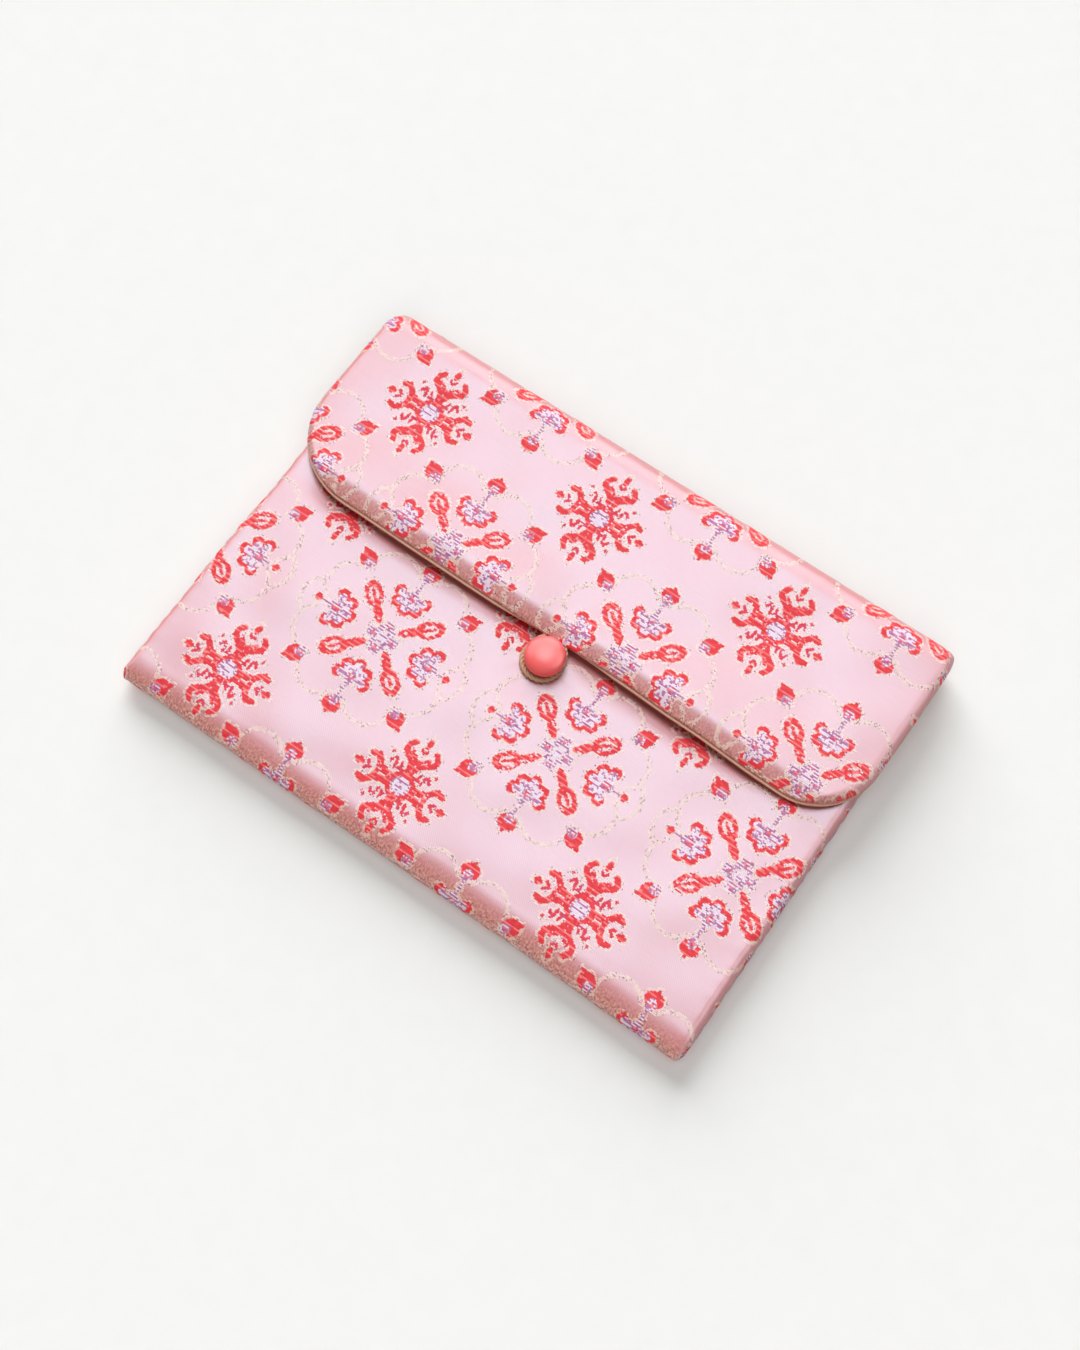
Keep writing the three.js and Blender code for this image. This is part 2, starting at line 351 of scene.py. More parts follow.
# One quarter of each motif, from its middle. A shape covers those above it in the list.
MEDALLION: tuple[Shape, ...] = (
    # the scalloped line round the medallion
    Spot(Area.FRAME, 8.7, 18.4, 7.2, 7.2, rim=0.68, beyond=21.5),
    Spot(Area.FRAME, 17.7, 8.3, 7.3, 7.3, rim=0.68, beyond=21.5),
    Trail(Area.FRAME, 0.68, ((25.2, 6.2), (27.6, 4.2), (28.8, 0.0))),
    # the cross in the middle
    Block(Area.LILAC, 3.5, 0.0, 1.65, 1.7),
    Block(Area.LILAC, 0.0, 4.1, 1.75, 1.4),
    Block(Area.LILAC, 1.75, 2.0, 0.95, 1.0),
    Spot(Area.PALE, 0.0, 0.0, 1.5, 1.5),
    Spot(Area.CORE, 3.4, 0.0, 0.95, 0.9),
    Spot(Area.CORE, 0.0, 4.1, 0.95, 0.8),
    # the petal between the fans
    Spot(Area.PETAL, 5.9, 5.9, 3.5, 1.2, lean=45.0),
    Spot(Area.PETAL, 10.4, 10.0, 3.4, 2.2, lean=43.0, rim=0.55),
    Trail(Area.PETAL, 0.5, ((8.2, 8.2), (11.3, 10.8)), tip=0.35),
    # the fan at each side
    Spot(Area.RED, 12.0, 0.0, 1.75, 1.8),
    Spot(Area.RED, 13.9, 3.6, 1.85, 1.85),
    Spot(Area.RED, 17.4, 4.8, 1.75, 1.65),
    Spot(Area.PALE, 13.0, 0.0, 1.5, 1.4),
    Spot(Area.PALE, 14.4, 2.8, 1.35, 1.3),
    Spot(Area.PALE, 17.2, 3.9, 1.3, 1.2),
    Spot(Area.PALE, 15.9, 0.0, 2.9, 3.2),
    Spot(Area.LILAC, 17.2, 0.0, 2.3, 1.8),
    Trail(Area.LILAC, 0.25, ((17.0, 0.5), (14.2, 3.0))),
    Trail(Area.LILAC, 0.25, ((17.4, 0.9), (17.3, 4.2))),
    Trail(Area.LILAC, 0.25, ((16.0, 0.0), (12.8, 0.0))),
    Spot(Area.CORE, 17.0, 0.0, 1.6, 1.1),
    Trail(Area.LILAC, 0.5, ((19.0, 0.0), (22.4, 0.0)), tip=0.35),
    Spot(Area.RED, 23.3, 0.0, 1.05, 0.95),
    # the fan above and below
    Spot(Area.RED, 0.0, 10.6, 1.8, 1.75),
    Spot(Area.RED, 3.3, 12.3, 1.85, 1.85),
    Spot(Area.RED, 4.6, 15.6, 1.65, 1.7),
    Spot(Area.PALE, 0.0, 11.5, 1.4, 1.4),
    Spot(Area.PALE, 2.6, 12.9, 1.3, 1.3),
    Spot(Area.PALE, 3.7, 15.3, 1.2, 1.25),
    Spot(Area.PALE, 0.0, 14.3, 3.0, 2.8),
    Spot(Area.LILAC, 0.0, 15.5, 1.7, 2.1),
    Trail(Area.LILAC, 0.25, ((0.5, 14.8), (2.8, 12.7))),
    Trail(Area.LILAC, 0.25, ((0.9, 15.4), (4.0, 15.4))),
    Trail(Area.LILAC, 0.25, ((0.0, 14.0), (0.0, 11.2))),
    Spot(Area.CORE, 0.0, 14.9, 1.0, 1.3),
    Trail(Area.LILAC, 0.5, ((0.0, 17.0), (0.0, 22.3)), tip=0.4),
    # the heart bud
    Spot(Area.RED, 0.0, 25.1, 2.75, 2.2),
    Trail(Area.RED, 1.0, ((0.0, 26.4), (0.0, 28.0)), tip=0.2),
    Spot(Area.LILAC, 0.0, 23.5, 1.55, 1.75),
    Spot(Area.CORE, 0.0, 23.4, 0.9, 1.0),
    # the corner bud
    Spot(Area.RED, 18.4, 18.3, 2.7, 2.5, lean=45.0),
    Trail(Area.RED, 1.0, ((19.8, 19.6), (21.3, 20.9)), tip=0.2),
    Spot(Area.LILAC, 17.2, 17.1, 1.75, 1.6, lean=45.0),
    Spot(Area.CORE, 17.4, 17.3, 1.0, 0.95),
)
ROSETTE: tuple[Shape, ...] = (
    Spot(Area.PALE, 0.0, 0.0, 2.3, 2.4),
    Spot(Area.LILAC, 0.0, 0.0, 2.6, 2.7, rim=0.4),
    # the small hooks between the arms
    Trail(Area.HOOK, 0.42, ((4.7, 3.8), (5.0, 5.9), (5.7, 6.5), (6.6, 5.2))),
    Trail(Area.HOOK, 0.35, ((3.0, 4.7), (3.4, 5.9))),
    Spot(Area.HOOK, 7.5, 7.7, 0.55, 0.45),
    # the arm above and below
    Spot(Area.RED, 0.0, 0.0, 3.7, 3.6, rim=0.55),
    Trail(Area.HOOK, 0.4, ((1.5, 3.9), (3.6, 4.0))),
    Trail(Area.PETAL, 1.4, ((0.0, 4.0), (0.0, 5.7)), tip=1.25),
    Trail(Area.RED, 0.7, ((0.9, 6.2), (1.6, 8.2)), tip=0.85),
    Trail(Area.RED, 0.9, ((0.0, 8.3), (2.6, 8.7), (4.8, 10.3), (4.95, 11.9), (3.7, 13.6)), tip=0.7),
    Trail(Area.PETAL, 0.5, ((0.9, 9.0), (2.9, 10.8)), tip=0.4),
    Trail(Area.HOOK, 0.38, ((0.1, 11.8), (0.9, 12.7))),
    Spot(Area.RED, 0.0, 15.1, 0.75, 1.5),
    # the arm at each side
    Trail(Area.RED, 0.85, ((3.7, 1.3), (7.6, 1.5), (9.2, 3.4), (10.4, 4.5), (12.2, 3.9)), tip=0.75),
    Trail(Area.PETAL, 0.7, ((8.1, 0.0), (8.3, 1.6))),
    Trail(Area.PETAL, 0.5, ((4.4, 0.0), (4.4, 1.0))),
    Trail(Area.HOOK, 0.5, ((10.6, 0.0), (11.9, 1.2)), tip=0.4),
    Spot(Area.RED, 14.2, 0.0, 1.25, 0.9),
)


@dataclass(frozen=True)
class Blend:
    """What an area of the chart is woven with.

    Attributes:
        lines: The threads of one weft line after the other.
        length: Usual length of a float.
        uneven: How far the ends of a row stray.
        bare: The share of floats left out, where the ground shows.
        stray: The share of floats that take another of the threads.
        dip: How high a float stands where it meets the next, from 0 to 1.
        speck: The share of floats that a short dark speck of painted shade crosses.
        swell: How far the area is woven beyond its outline.
    """

    lines: tuple[Yarn, ...]
    length: float
    uneven: float = 0.2
    bare: float = 0.0
    stray: float = 0.2
    dip: float = 0.5
    speck: float = 0.0
    swell: float = 0.0


BLENDS: dict[Area, Blend] = {
    Area.HALO: Blend((Yarn.CREAM,), 0.9, 0.35, bare=0.25, speck=0.1),
    Area.FRAME: Blend((Yarn.CREAM,), 0.8, 0.3, bare=0.12, speck=0.22),
    Area.PALE: Blend((*(Yarn.WHITE,) * 3, Yarn.LILAC), 0.9, bare=0.04, stray=0.25, speck=0.06),
    Area.LILAC: Blend((Yarn.LILAC, Yarn.WHITE), 0.7, bare=0.04, speck=0.3),
    Area.CORE: Blend((Yarn.CRIMSON, Yarn.LILAC, Yarn.ROSE, Yarn.WHITE), 0.7, stray=0.35, speck=0.2),
    Area.HOOK: Blend((Yarn.CRIMSON, Yarn.RED), 0.9, bare=0.06, speck=0.1, swell=0.08),
    Area.PETAL: Blend((*(Yarn.RED,) * 2, Yarn.ROSE), 1.0, 0.3, bare=0.05, stray=0.25, dip=0.7, swell=0.14),
    Area.RED: Blend((*(Yarn.RED,) * 4, Yarn.ROSE), 1.5, 0.25, stray=0.1, dip=0.85, swell=0.16),
}


@dataclass
class Floats:
    """Weft floats as arrays: their ends across the cloth, how high these stand, their line and thread."""

    start: Array
    end: Array
    start_rise: Array
    end_rise: Array
    line: Array
    yarn: Array

    def pick(self, which: Array) -> Floats:
        """The floats that a mask or a list of places names."""
        return Floats(*(getattr(self, name)[which] for name in self.__dataclass_fields__))

    def joined(self, other: Floats) -> Floats:
        """These floats and some more."""
        names = self.__dataclass_fields__
        return Floats(*(np.concatenate((getattr(self, name), getattr(other, name))) for name in names))


@dataclass(frozen=True)
class Brocade:
    """The woven pattern: a repeat with a rosette at its corners and a medallion in its middle.

    Attributes:
        wefts: How many weft lines a repeat has.
        ends: How many warp ends the chart counts in a repeat.
        halo: How far cream floats are strewn round the motifs.
        stagger: How far the cuts of a row move from line to line, in floats.
        fewest_ends: The shortest row, in warp ends.
        outer_rise: How high a float stands where its row ends, from 0 to 1.
        speck: The usual length of a dark speck of painted shade.
    """

    across: float = 62.83
    along: float = 67.68
    wefts: int = 140
    ends: int = 628
    halo: float = 0.75
    stagger: float = 0.35
    fewest_ends: float = 2.0
    outer_rise: float = 0.2
    speck: float = 0.32
    speck_sizes: Span = (0.7, 1.4)
    seed: int = 11

    @property
    def pitch(self) -> float:
        """The spacing of the weft lines."""
        return self.along / self.wefts

    @property
    def step(self) -> float:
        """The spacing of the warp ends that the chart counts."""
        return self.across / self.ends

    def chart(self) -> Array:
        """The areas of one repeat, from the middle of a rosette.

        Returns:
            The number of the area, by weft line and warp end.
        """
        u = (np.arange(self.ends) + 0.5) * self.step
        v = np.arange(self.wefts) * self.pitch
        u, v = np.meshgrid(u, v)
        areas = np.full(u.shape, int(Area.GROUND))
        nearest = np.full(u.shape, np.inf)
        for motif, middle in ((ROSETTE, (0.0, 0.0)), (MEDALLION, (self.across / 2, self.along / 2))):
            x = np.abs((u - middle[0] + self.across / 2) % self.across - self.across / 2)
            y = np.abs((v - middle[1] + self.along / 2) % self.along - self.along / 2)
            for shape in motif:
                away = shape.away(x, y) - BLENDS[shape.area].swell
                areas[away < 0.0] = int(shape.area)
                if shape.area != Area.FRAME:
                    nearest = np.minimum(nearest, away)
        areas[(areas == Area.GROUND) & (nearest < self.halo)] = int(Area.HALO)
        return areas

    def floats(self, span: Span, rows: Span, rosette: Point) -> Floats:
        """The floats of a stretch of cloth.

        Args:
            span: From where to where the cloth runs along its wefts.
            rows: From where to where it runs along its warp.
            rosette: The middle of one of its rosettes.

        Returns:
            The floats, long rows of one area cut into several and some crossed by a dark speck of painted
            shade.
        """
        draw = np.random.default_rng(self.seed)
        first_line = math.ceil((rows[0] - rosette[1]) / self.pitch)
        lines = np.arange(first_line, math.floor((rows[1] - rosette[1]) / self.pitch))
        places = np.arange(span[0], span[1], self.step)
        ends = np.floor((places - rosette[0]) / self.step).astype(int) % self.ends
        areas = self.chart()[np.ix_(lines % self.wefts, ends)]
        areas = np.pad(areas, ((0, 0), (0, 1)), constant_values=int(Area.GROUND)).ravel()
        first = np.concatenate(([0], np.flatnonzero(np.diff(areas)) + 1))
        length = np.diff(np.concatenate((first, [len(areas)])))
        woven = areas[first] != Area.GROUND
        first, length = first[woven], length[woven]
        row, column = np.divmod(first, len(places) + 1)
        stray = self._of_areas("uneven")[areas[first]]
        start = span[0] + column * self.step + stray * draw.uniform(-1.0, 1.0, len(first))
        end = span[0] + (column + length) * self.step + stray * draw.uniform(-1.0, 1.0, len(first))
        end = np.maximum(end, start + self.fewest_ends * self.step)
        floats = self._cut(start, end, lines[row], areas[first], draw)
        floats.line = rosette[1] + floats.line * self.pitch
        return floats

    def _of_areas(self, name: str) -> Array:
        """One figure of the blends, by area."""
        return np.array([getattr(BLENDS[area], name) if area in BLENDS else 0.0 for area in Area])

    def _cut(self, start: Array, end: Array, line: Array, area: Array, draw: np.random.Generator) -> Floats:
        """Rows of one area cut into floats, not at the same place in each line, and a thread picked for each.

        Args:
            start: Where each row starts across the cloth.
            end: Where it ends.
            line: The number of its weft line.
            area: Its area in the chart.
            draw: The random draw.

        Returns:
            The floats, with the dark specks of painted shade that cross them.
        """
        length = end - start
        count = np.maximum(1, np.ceil(length / self._of_areas("length")[area])).astype(int)
        phase = draw.uniform(-self.stagger, self.stagger, len(count))
        row = np.repeat(np.arange(len(count)), count)
        nth = np.arange(len(row)) - np.repeat(np.cumsum(count) - count, count)
        opens = nth == 0
        closes = nth + 1 == count[row]
        dip = self._of_areas("dip")[area[row]]
        floats = Floats(
            start[row] + length[row] * np.where(opens, 0.0, (nth + phase[row]) / count[row]),
            start[row] + length[row] * np.where(closes, 1.0, (nth + 1 + phase[row]) / count[row]),
            np.where(opens, self.outer_rise, dip),
            np.where(closes, self.outer_rise, dip),
            line[row],
            self._threads(area[row], line[row], draw),
        )
        # painted shade: some floats get a short dark speck, for the tiny shadows beside raised threads
        specked = floats.pick(draw.random(len(row)) < self._of_areas("speck")[area[row]])
        stays = floats.yarn < len(Yarn)
        return floats.pick(stays).joined(self._shade_specks(specked, draw))

    def _threads(self, area: Array, line: Array, draw: np.random.Generator) -> Array:
        """A thread for each float by its area and weft line.

        Args:
            area: The area of each float.
            line: The number of its weft line.
            draw: The random draw.

        Returns:
            The number of each thread, or one past the last where the float is left out.
        """
        yarns = np.full(len(area), len(Yarn))
        for kind, blend in BLENDS.items():
            here = np.flatnonzero(area == kind)
            strays = draw.random(len(here)) < blend.stray
            place = line[here] + np.where(strays, draw.integers(0, len(blend.lines), len(here)), 0)
            woven = draw.random(len(here)) >= blend.bare
            yarns[here[woven]] = np.array(blend.lines)[place % len(blend.lines)][woven]
        return yarns

    def _shade_specks(self, specked: Floats, draw: np.random.Generator) -> Floats:
        """Floats made into short dark specks that cross them, painted shade for the tiny shadows beside
        raised threads.

        Args:
            specked: The floats that get a speck.
            draw: The random draw.

        Returns:
            The specks.
        """
        middle = mix(specked.start, specked.end, draw.random(len(specked.yarn)))
        half = self.speck / 2 * draw.uniform(*self.speck_sizes, len(middle))
        specked.start = middle - half
        specked.end = middle + half
        specked.start_rise = np.full(len(middle), self.outer_rise)
        specked.end_rise = np.full(len(middle), self.outer_rise)
        specked.yarn = np.full(len(middle), int(Yarn.SHADE_SPECK))
        return specked


class Nodes:
    """The nodes of a material, added and joined in a few words.

    Attributes:
        band_scale: How close fine bands lie in a step of the cloth.
        band_detail: How finely they are bent.
    """

    band_scale: float = 0.5
    band_detail: float = 1.0

    def __init__(self, name: str) -> None:
        """Starts an empty material.

        Args:
            name: Its name.
        """
        self.material = bpy.data.materials.new(name)
        self.material.use_nodes = True
        self.tree = self.material.node_tree
        self.tree.nodes.clear()

    def add(self, kind: str, wires: Wires | None = None, **settings: object) -> bpy.types.Node:
        """Adds a node.

        Args:
            kind: The node's type.
            wires: For each input by name or place, a value or the output that feeds it.
            settings: The node's own settings.

        Returns:
            The new node.
        """
        node = self.tree.nodes.new(kind)
        for name, value in settings.items():
            setattr(node, name, value)
        for name, value in (wires or {}).items():
            if isinstance(value, Socket):
                self.tree.links.new(value, node.inputs[name])
            else:
                node.inputs[name].default_value = value
        return node

    def weave(self, across: float, along: float) -> Socket:
        """Places on the cloth, counted in steps.

        Args:
            across: The length of a step across the cloth, in millimetres.
            along: The length of a step along it.

        Returns:
            The places.
        """
        place = self.add("ShaderNodeUVMap", uv_map=WEAVE_MAP)
        wires = {"Vector": place.outputs["UV"], "Scale": (1.0 / across, 1.0 / along, 1.0)}
        return self.add("ShaderNodeMapping", wires).outputs["Vector"]

    def place(self) -> Socket:
        """Places in the frame, in metres."""
        return self.add("ShaderNodeTexCoord").outputs["Object"]

    def noise(self, vector: Socket, scale: float = 1.0, detail: float = 2.0) -> Socket:
        """A soft noise from 0 to 1."""
        wires = {"Vector": vector, "Scale": scale, "Detail": detail}
        return self.add("ShaderNodeTexNoise", wires).outputs["Fac"]

    def bands(self, vector: Socket, kind: Bands, blur: float) -> Socket:
        """Fine bands, bent a little by a blur.

        Args:
            vector: Places on the cloth.
            kind: What the bands show.
            blur: How far they are bent.

        Returns:
            Values from 0 to 1.
        """
        wires = {"Vector": vector, "Scale": self.band_scale, "Distortion": blur, "Detail": self.band_detail}
        node = self.add("ShaderNodeTexWave", wires, wave_type="BANDS", bands_direction=kind.value)
        return node.outputs["Fac"]

    def sums(self, kind: Sum, first: Socket, second: Socket) -> Socket:
        """The sum or the product of two values."""
        return self.add("ShaderNodeMath", {0: first, 1: second}, operation=kind.value).outputs[0]

    def spread(self, value: Socket, span: Span) -> Socket:
        """A value from 0 to 1 spread over a span."""
        wires = {"Value": value, "To Min": span[0], "To Max": span[1]}
        return self.add("ShaderNodeMapRange", wires).outputs["Result"]

    def blend(self, share: object, first: object, second: object) -> Socket:
        """A colour a share of the way from first to second."""
        return self.add("ShaderNodeMix", {0: share, 6: first, 7: second}, data_type="RGBA").outputs[2]

    def bump(self, height: Socket, depth: float, strength: float) -> Socket:
        """A normal bent by a height, of that depth in millimetres."""
        wires = {"Height": height, "Distance": depth * MM, "Strength": strength}
        return self.add("ShaderNodeBump", wires).outputs["Normal"]

    def close(self, wires: Wires) -> Material:
        """Ends the material with a principled shader.

        Args:
            wires: The shader's inputs.

        Returns:
            The material.
        """
        shader = self.add("ShaderNodeBsdfPrincipled", wires)
        self.add("ShaderNodeOutputMaterial", {"Surface": shader.outputs[0]})
        return self.material


@dataclass(frozen=True)
class SatinFinish:
    """The satin ground of the brocade: warm pink with a cool shine, fine slubs and a faint twill.

    Where the cloth turns down at a lower edge, facing away from the key light, a fine grain of painted shade
    and painted warm bounce light, dark brown and peach, is mixed into its colour.
    """

    deep: Colour = (0.57, 0.17, 0.16, 1.0)
    pale: Colour = (0.65, 0.21, 0.205, 1.0)
    tones: Span = (-0.4, 0.9)
    shine: Colour = (0.45, 0.8, 0.94, 1.0)
    shine_level: float = 0.5
    index: float = 1.97
    roughness: Span = (0.32, 0.42)
    slub_length: float = 9.0
    slub_width: float = 0.55
    cloud: float = 24.0
    twill: float = 0.62
    twill_blur: float = 0.6
    relief: float = 0.02
    relief_share: float = 0.5
    # painted shade and painted warm bounce light: the dark brown and peach of a fine grain, mixed in where
    # the cloth faces away from the key light
    shade_grain_dark: Colour = (0.36, 0.095, 0.085, 1.0)
    bounce_grain_light: Colour = (0.95, 0.48, 0.36, 1.0)
    shade_grain_tones: Span = (-1.5, 2.5)
    grain_length: float = 0.6
    grain_width: float = 0.9
    shade_grain_share: float = 0.75
    shade_from: float = -0.12
    shade_most: float = -0.6

    def _turned_from_light(self, nodes: Nodes) -> Socket:
        """How much of the grain of painted shade and warm bounce light is mixed in.

        Args:
            nodes: The nodes of the material.

        Returns:
            A share, 0 where the cloth lies flat and most where it turns down towards -Y, away from the key
            light.
        """
        # painted shade: the more the normal leans towards -Y, away from the key light, the more of the shaded
        # grain is mixed in
        normal = nodes.add("ShaderNodeNewGeometry").outputs["Normal"]
        wires = {
            "Value": nodes.add("ShaderNodeSeparateXYZ", {"Vector": normal}).outputs["Y"],
            "From Min": self.shade_from,
            "From Max": self.shade_most,
            "To Max": self.shade_grain_share,
        }
        return nodes.add("ShaderNodeMapRange", wires).outputs["Result"]

    def material(self) -> Material:
        """The finish as a material.

        Returns:
            The material.
        """
        nodes = Nodes("satin_ground")
        slub = nodes.noise(nodes.weave(self.slub_length, self.slub_width))
        cloud = nodes.noise(nodes.weave(self.cloud, self.cloud), detail=3.0)
        tone = nodes.spread(nodes.sums(Sum.ADD, slub, cloud), self.tones)
        twill = nodes.bands(nodes.weave(self.twill, self.twill), Bands.TWILL, self.twill_blur)
        fine = nodes.noise(nodes.weave(self.grain_length, self.grain_width))
        # the grain's tones are painted shade and painted warm bounce light
        grain = nodes.blend(nodes.spread(fine, self.shade_grain_tones), self.shade_grain_dark, self.bounce_grain_light)
        ground = nodes.blend(tone, self.deep, self.pale)
        return nodes.close(
            {
                "Base Color": nodes.blend(self._turned_from_light(nodes), ground, grain),
                "Roughness": nodes.spread(slub, self.roughness),
                "IOR": self.index,
                "Specular IOR Level": self.shine_level,
                "Specular Tint": self.shine,
                "Normal": nodes.bump(nodes.sums(Sum.ADD, slub, twill), self.relief, self.relief_share),
            }
        )


@dataclass(frozen=True)
class YarnFinish:
    """A weft thread: each float a little lighter or darker, with the twist of its ply.

    Attributes:
        fullness: How much of the room between two weft lines a float fills.
        crown: How high the middle of a float stands.
    """

    yarn: Yarn
    dark: Colour
    light: Colour
    fullness: float = 0.95
    crown: float = 0.08
    roughness: Span = (0.52, 0.68)
    shine_level: float = 0.15
    shine: Colour = (1.0, 1.0, 1.0, 1.0)
    float_tones: Span = (0.0, 0.75)
    fibre_tones: Span = (-0.15, 0.4)
    fibre_length: float = 1.4
    fibre_width: float = 0.2
    ply: float = 0.24
    ply_blur: float = 0.3
    relief: float = 0.03
    relief_share: float = 0.4

    def material(self) -> Material:
        """The finish as a material.

        Returns:
            The material.
        """
        nodes = Nodes(f"{self.yarn.name.lower()}_yarn")
        each = nodes.add("ShaderNodeNewGeometry").outputs["Random Per Island"]
        fibre = nodes.noise(nodes.weave(self.fibre_length, self.fibre_width), detail=3.0)
        float_tone = nodes.spread(each, self.float_tones)
        tone = nodes.sums(Sum.ADD, float_tone, nodes.spread(fibre, self.fibre_tones))
        ply = nodes.bands(nodes.weave(self.ply, self.ply), Bands.TWILL, self.ply_blur)
        return nodes.close(
            {
                "Base Color": nodes.blend(tone, self.dark, self.light),
                "Roughness": nodes.spread(fibre, self.roughness),
                "Specular IOR Level": self.shine_level,
                "Specular Tint": self.shine,
                "Normal": nodes.bump(ply, self.relief, self.relief_share),
            }
        )


YARN_FINISHES: tuple[YarnFinish, ...] = (
    YarnFinish(
        Yarn.CREAM,
        paint(232, 198, 182),
        paint(247, 219, 202),
        fullness=0.64,
        crown=0.06,
        roughness=(0.34, 0.5),
        shine_level=0.5,
        shine=SatinFinish.shine,
    ),
    YarnFinish(Yarn.WHITE, paint(228, 207, 226), paint(245, 230, 241), fullness=0.84, crown=0.07),
    YarnFinish(Yarn.LILAC, paint(160, 86, 142), paint(204, 134, 176)),
    YarnFinish(Yarn.CRIMSON, paint(200, 42, 84), paint(228, 76, 112)),
    YarnFinish(Yarn.ROSE, paint(238, 98, 100), paint(248, 140, 138), fullness=1.0),
    YarnFinish(Yarn.RED, paint(216, 42, 54), paint(236, 70, 76), fullness=1.06, crown=0.1),
    # painted shade: dark plum specks for the tiny shadows beside raised threads
    YarnFinish(Yarn.SHADE_SPECK, paint(92, 58, 78), paint(136, 98, 106), fullness=0.7, crown=0.1),
)


@dataclass(frozen=True)
class LiningFinish:
    """The plain tan cloth under the flap, warp over weft."""

    dark: Colour = paint(220, 164, 138)
    light: Colour = paint(247, 206, 182)
    roughness: Span = (0.75, 0.9)
    thread: float = 0.45
    thread_blur: float = 0.4
    thread_tones: Span = (0.0, 0.6)
    cloud_length: float = 6.0
    cloud_width: float = 2.0
    cloud_tones: Span = (-0.1, 0.6)
    relief: float = 0.06
    relief_share: float = 0.6

    def material(self) -> Material:
        """The finish as a material.

        Returns:
            The material.
        """
        nodes = Nodes("plain_lining")
        weave = nodes.weave(self.thread, self.thread)
        warp = nodes.bands(weave, Bands.WARP, self.thread_blur)
        over = nodes.sums(Sum.MULTIPLY, warp, nodes.bands(weave, Bands.WEFT, self.thread_blur))
        cloud = nodes.noise(nodes.weave(self.cloud_length, self.cloud_width), detail=3.0)
        thread_tone = nodes.spread(over, self.thread_tones)
        tone = nodes.sums(Sum.ADD, thread_tone, nodes.spread(cloud, self.cloud_tones))
        return nodes.close(
            {
                "Base Color": nodes.blend(tone, self.dark, self.light),
                "Roughness": nodes.spread(cloud, self.roughness),
                "Normal": nodes.bump(over, self.relief, self.relief_share),
            }
        )


@dataclass(frozen=True)
class CoralFinish:
    """The coral button: a warm dome, softly polished and a little cloudy, with a few fine scratches."""

    deep: Colour = paint(243, 82, 80)
    pale: Colour = paint(251, 116, 115)
    roughness: Span = (0.28, 0.42)
    cloud: float = 260.0
    scratch: float = 900.0
    relief: float = 0.02
    relief_share: float = 0.15

    def material(self) -> Material:
        """The finish as a material.

        Returns:
            The material.
        """
        nodes = Nodes("coral_dome")
        cloud = nodes.noise(nodes.place(), self.cloud, detail=4.0)
        scratch = nodes.noise(nodes.place(), self.scratch, detail=6.0)
        return nodes.close(
            {
                "Base Color": nodes.blend(cloud, self.deep, self.pale),
                "Roughness": nodes.spread(scratch, self.roughness),
                "Normal": nodes.bump(scratch, self.relief, self.relief_share),
            }
        )


@dataclass(frozen=True)
class CordFinish:
    """The beige cord: fibres along each ply."""

    dark: Colour = paint(176, 130, 98)
    light: Colour = paint(226, 188, 152)
    roughness: Span = (0.65, 0.85)
    fibre_length: float = 2.0
    fibre_width: float = 0.12
    fibre_tones: Span = (-0.2, 0.9)
    cloud: float = 700.0
    cloud_tones: Span = (-0.1, 0.4)
    relief: float = 0.04
    relief_share: float = 0.5

    def material(self) -> Material:
        """The finish as a material.

        Returns:
            The material.
        """
        nodes = Nodes("beige_cord")
        fibre = nodes.noise(nodes.weave(self.fibre_length, self.fibre_width), detail=4.0)
        cloud = nodes.noise(nodes.place(), self.cloud)
        fibre_tone = nodes.spread(fibre, self.fibre_tones)
        tone = nodes.sums(Sum.ADD, fibre_tone, nodes.spread(cloud, self.cloud_tones))
        return nodes.close(
            {
                "Base Color": nodes.blend(tone, self.dark, self.light),
                "Roughness": nodes.spread(fibre, self.roughness),
                "Normal": nodes.bump(fibre, self.relief, self.relief_share),
            }
        )


@dataclass(frozen=True)
class FloorFinish:
    """A pale matt board."""

    low: Colour = paint(213, 214, 213)
    high: Colour = paint(217, 218, 217)
    roughness: float = 0.9
    grain: float = 120.0
    relief: float = 0.05
    relief_share: float = 0.1

    def material(self) -> Material:
        """The finish as a material.

        Returns:
            The material.
        """
        nodes = Nodes("pale_board")
        grain = nodes.noise(nodes.place(), self.grain, detail=4.0)
        return nodes.close(
            {
                "Base Color": nodes.blend(grain, self.low, self.high),
                "Roughness": self.roughness,
                "Normal": nodes.bump(grain, self.relief, self.relief_share),
            }
        )


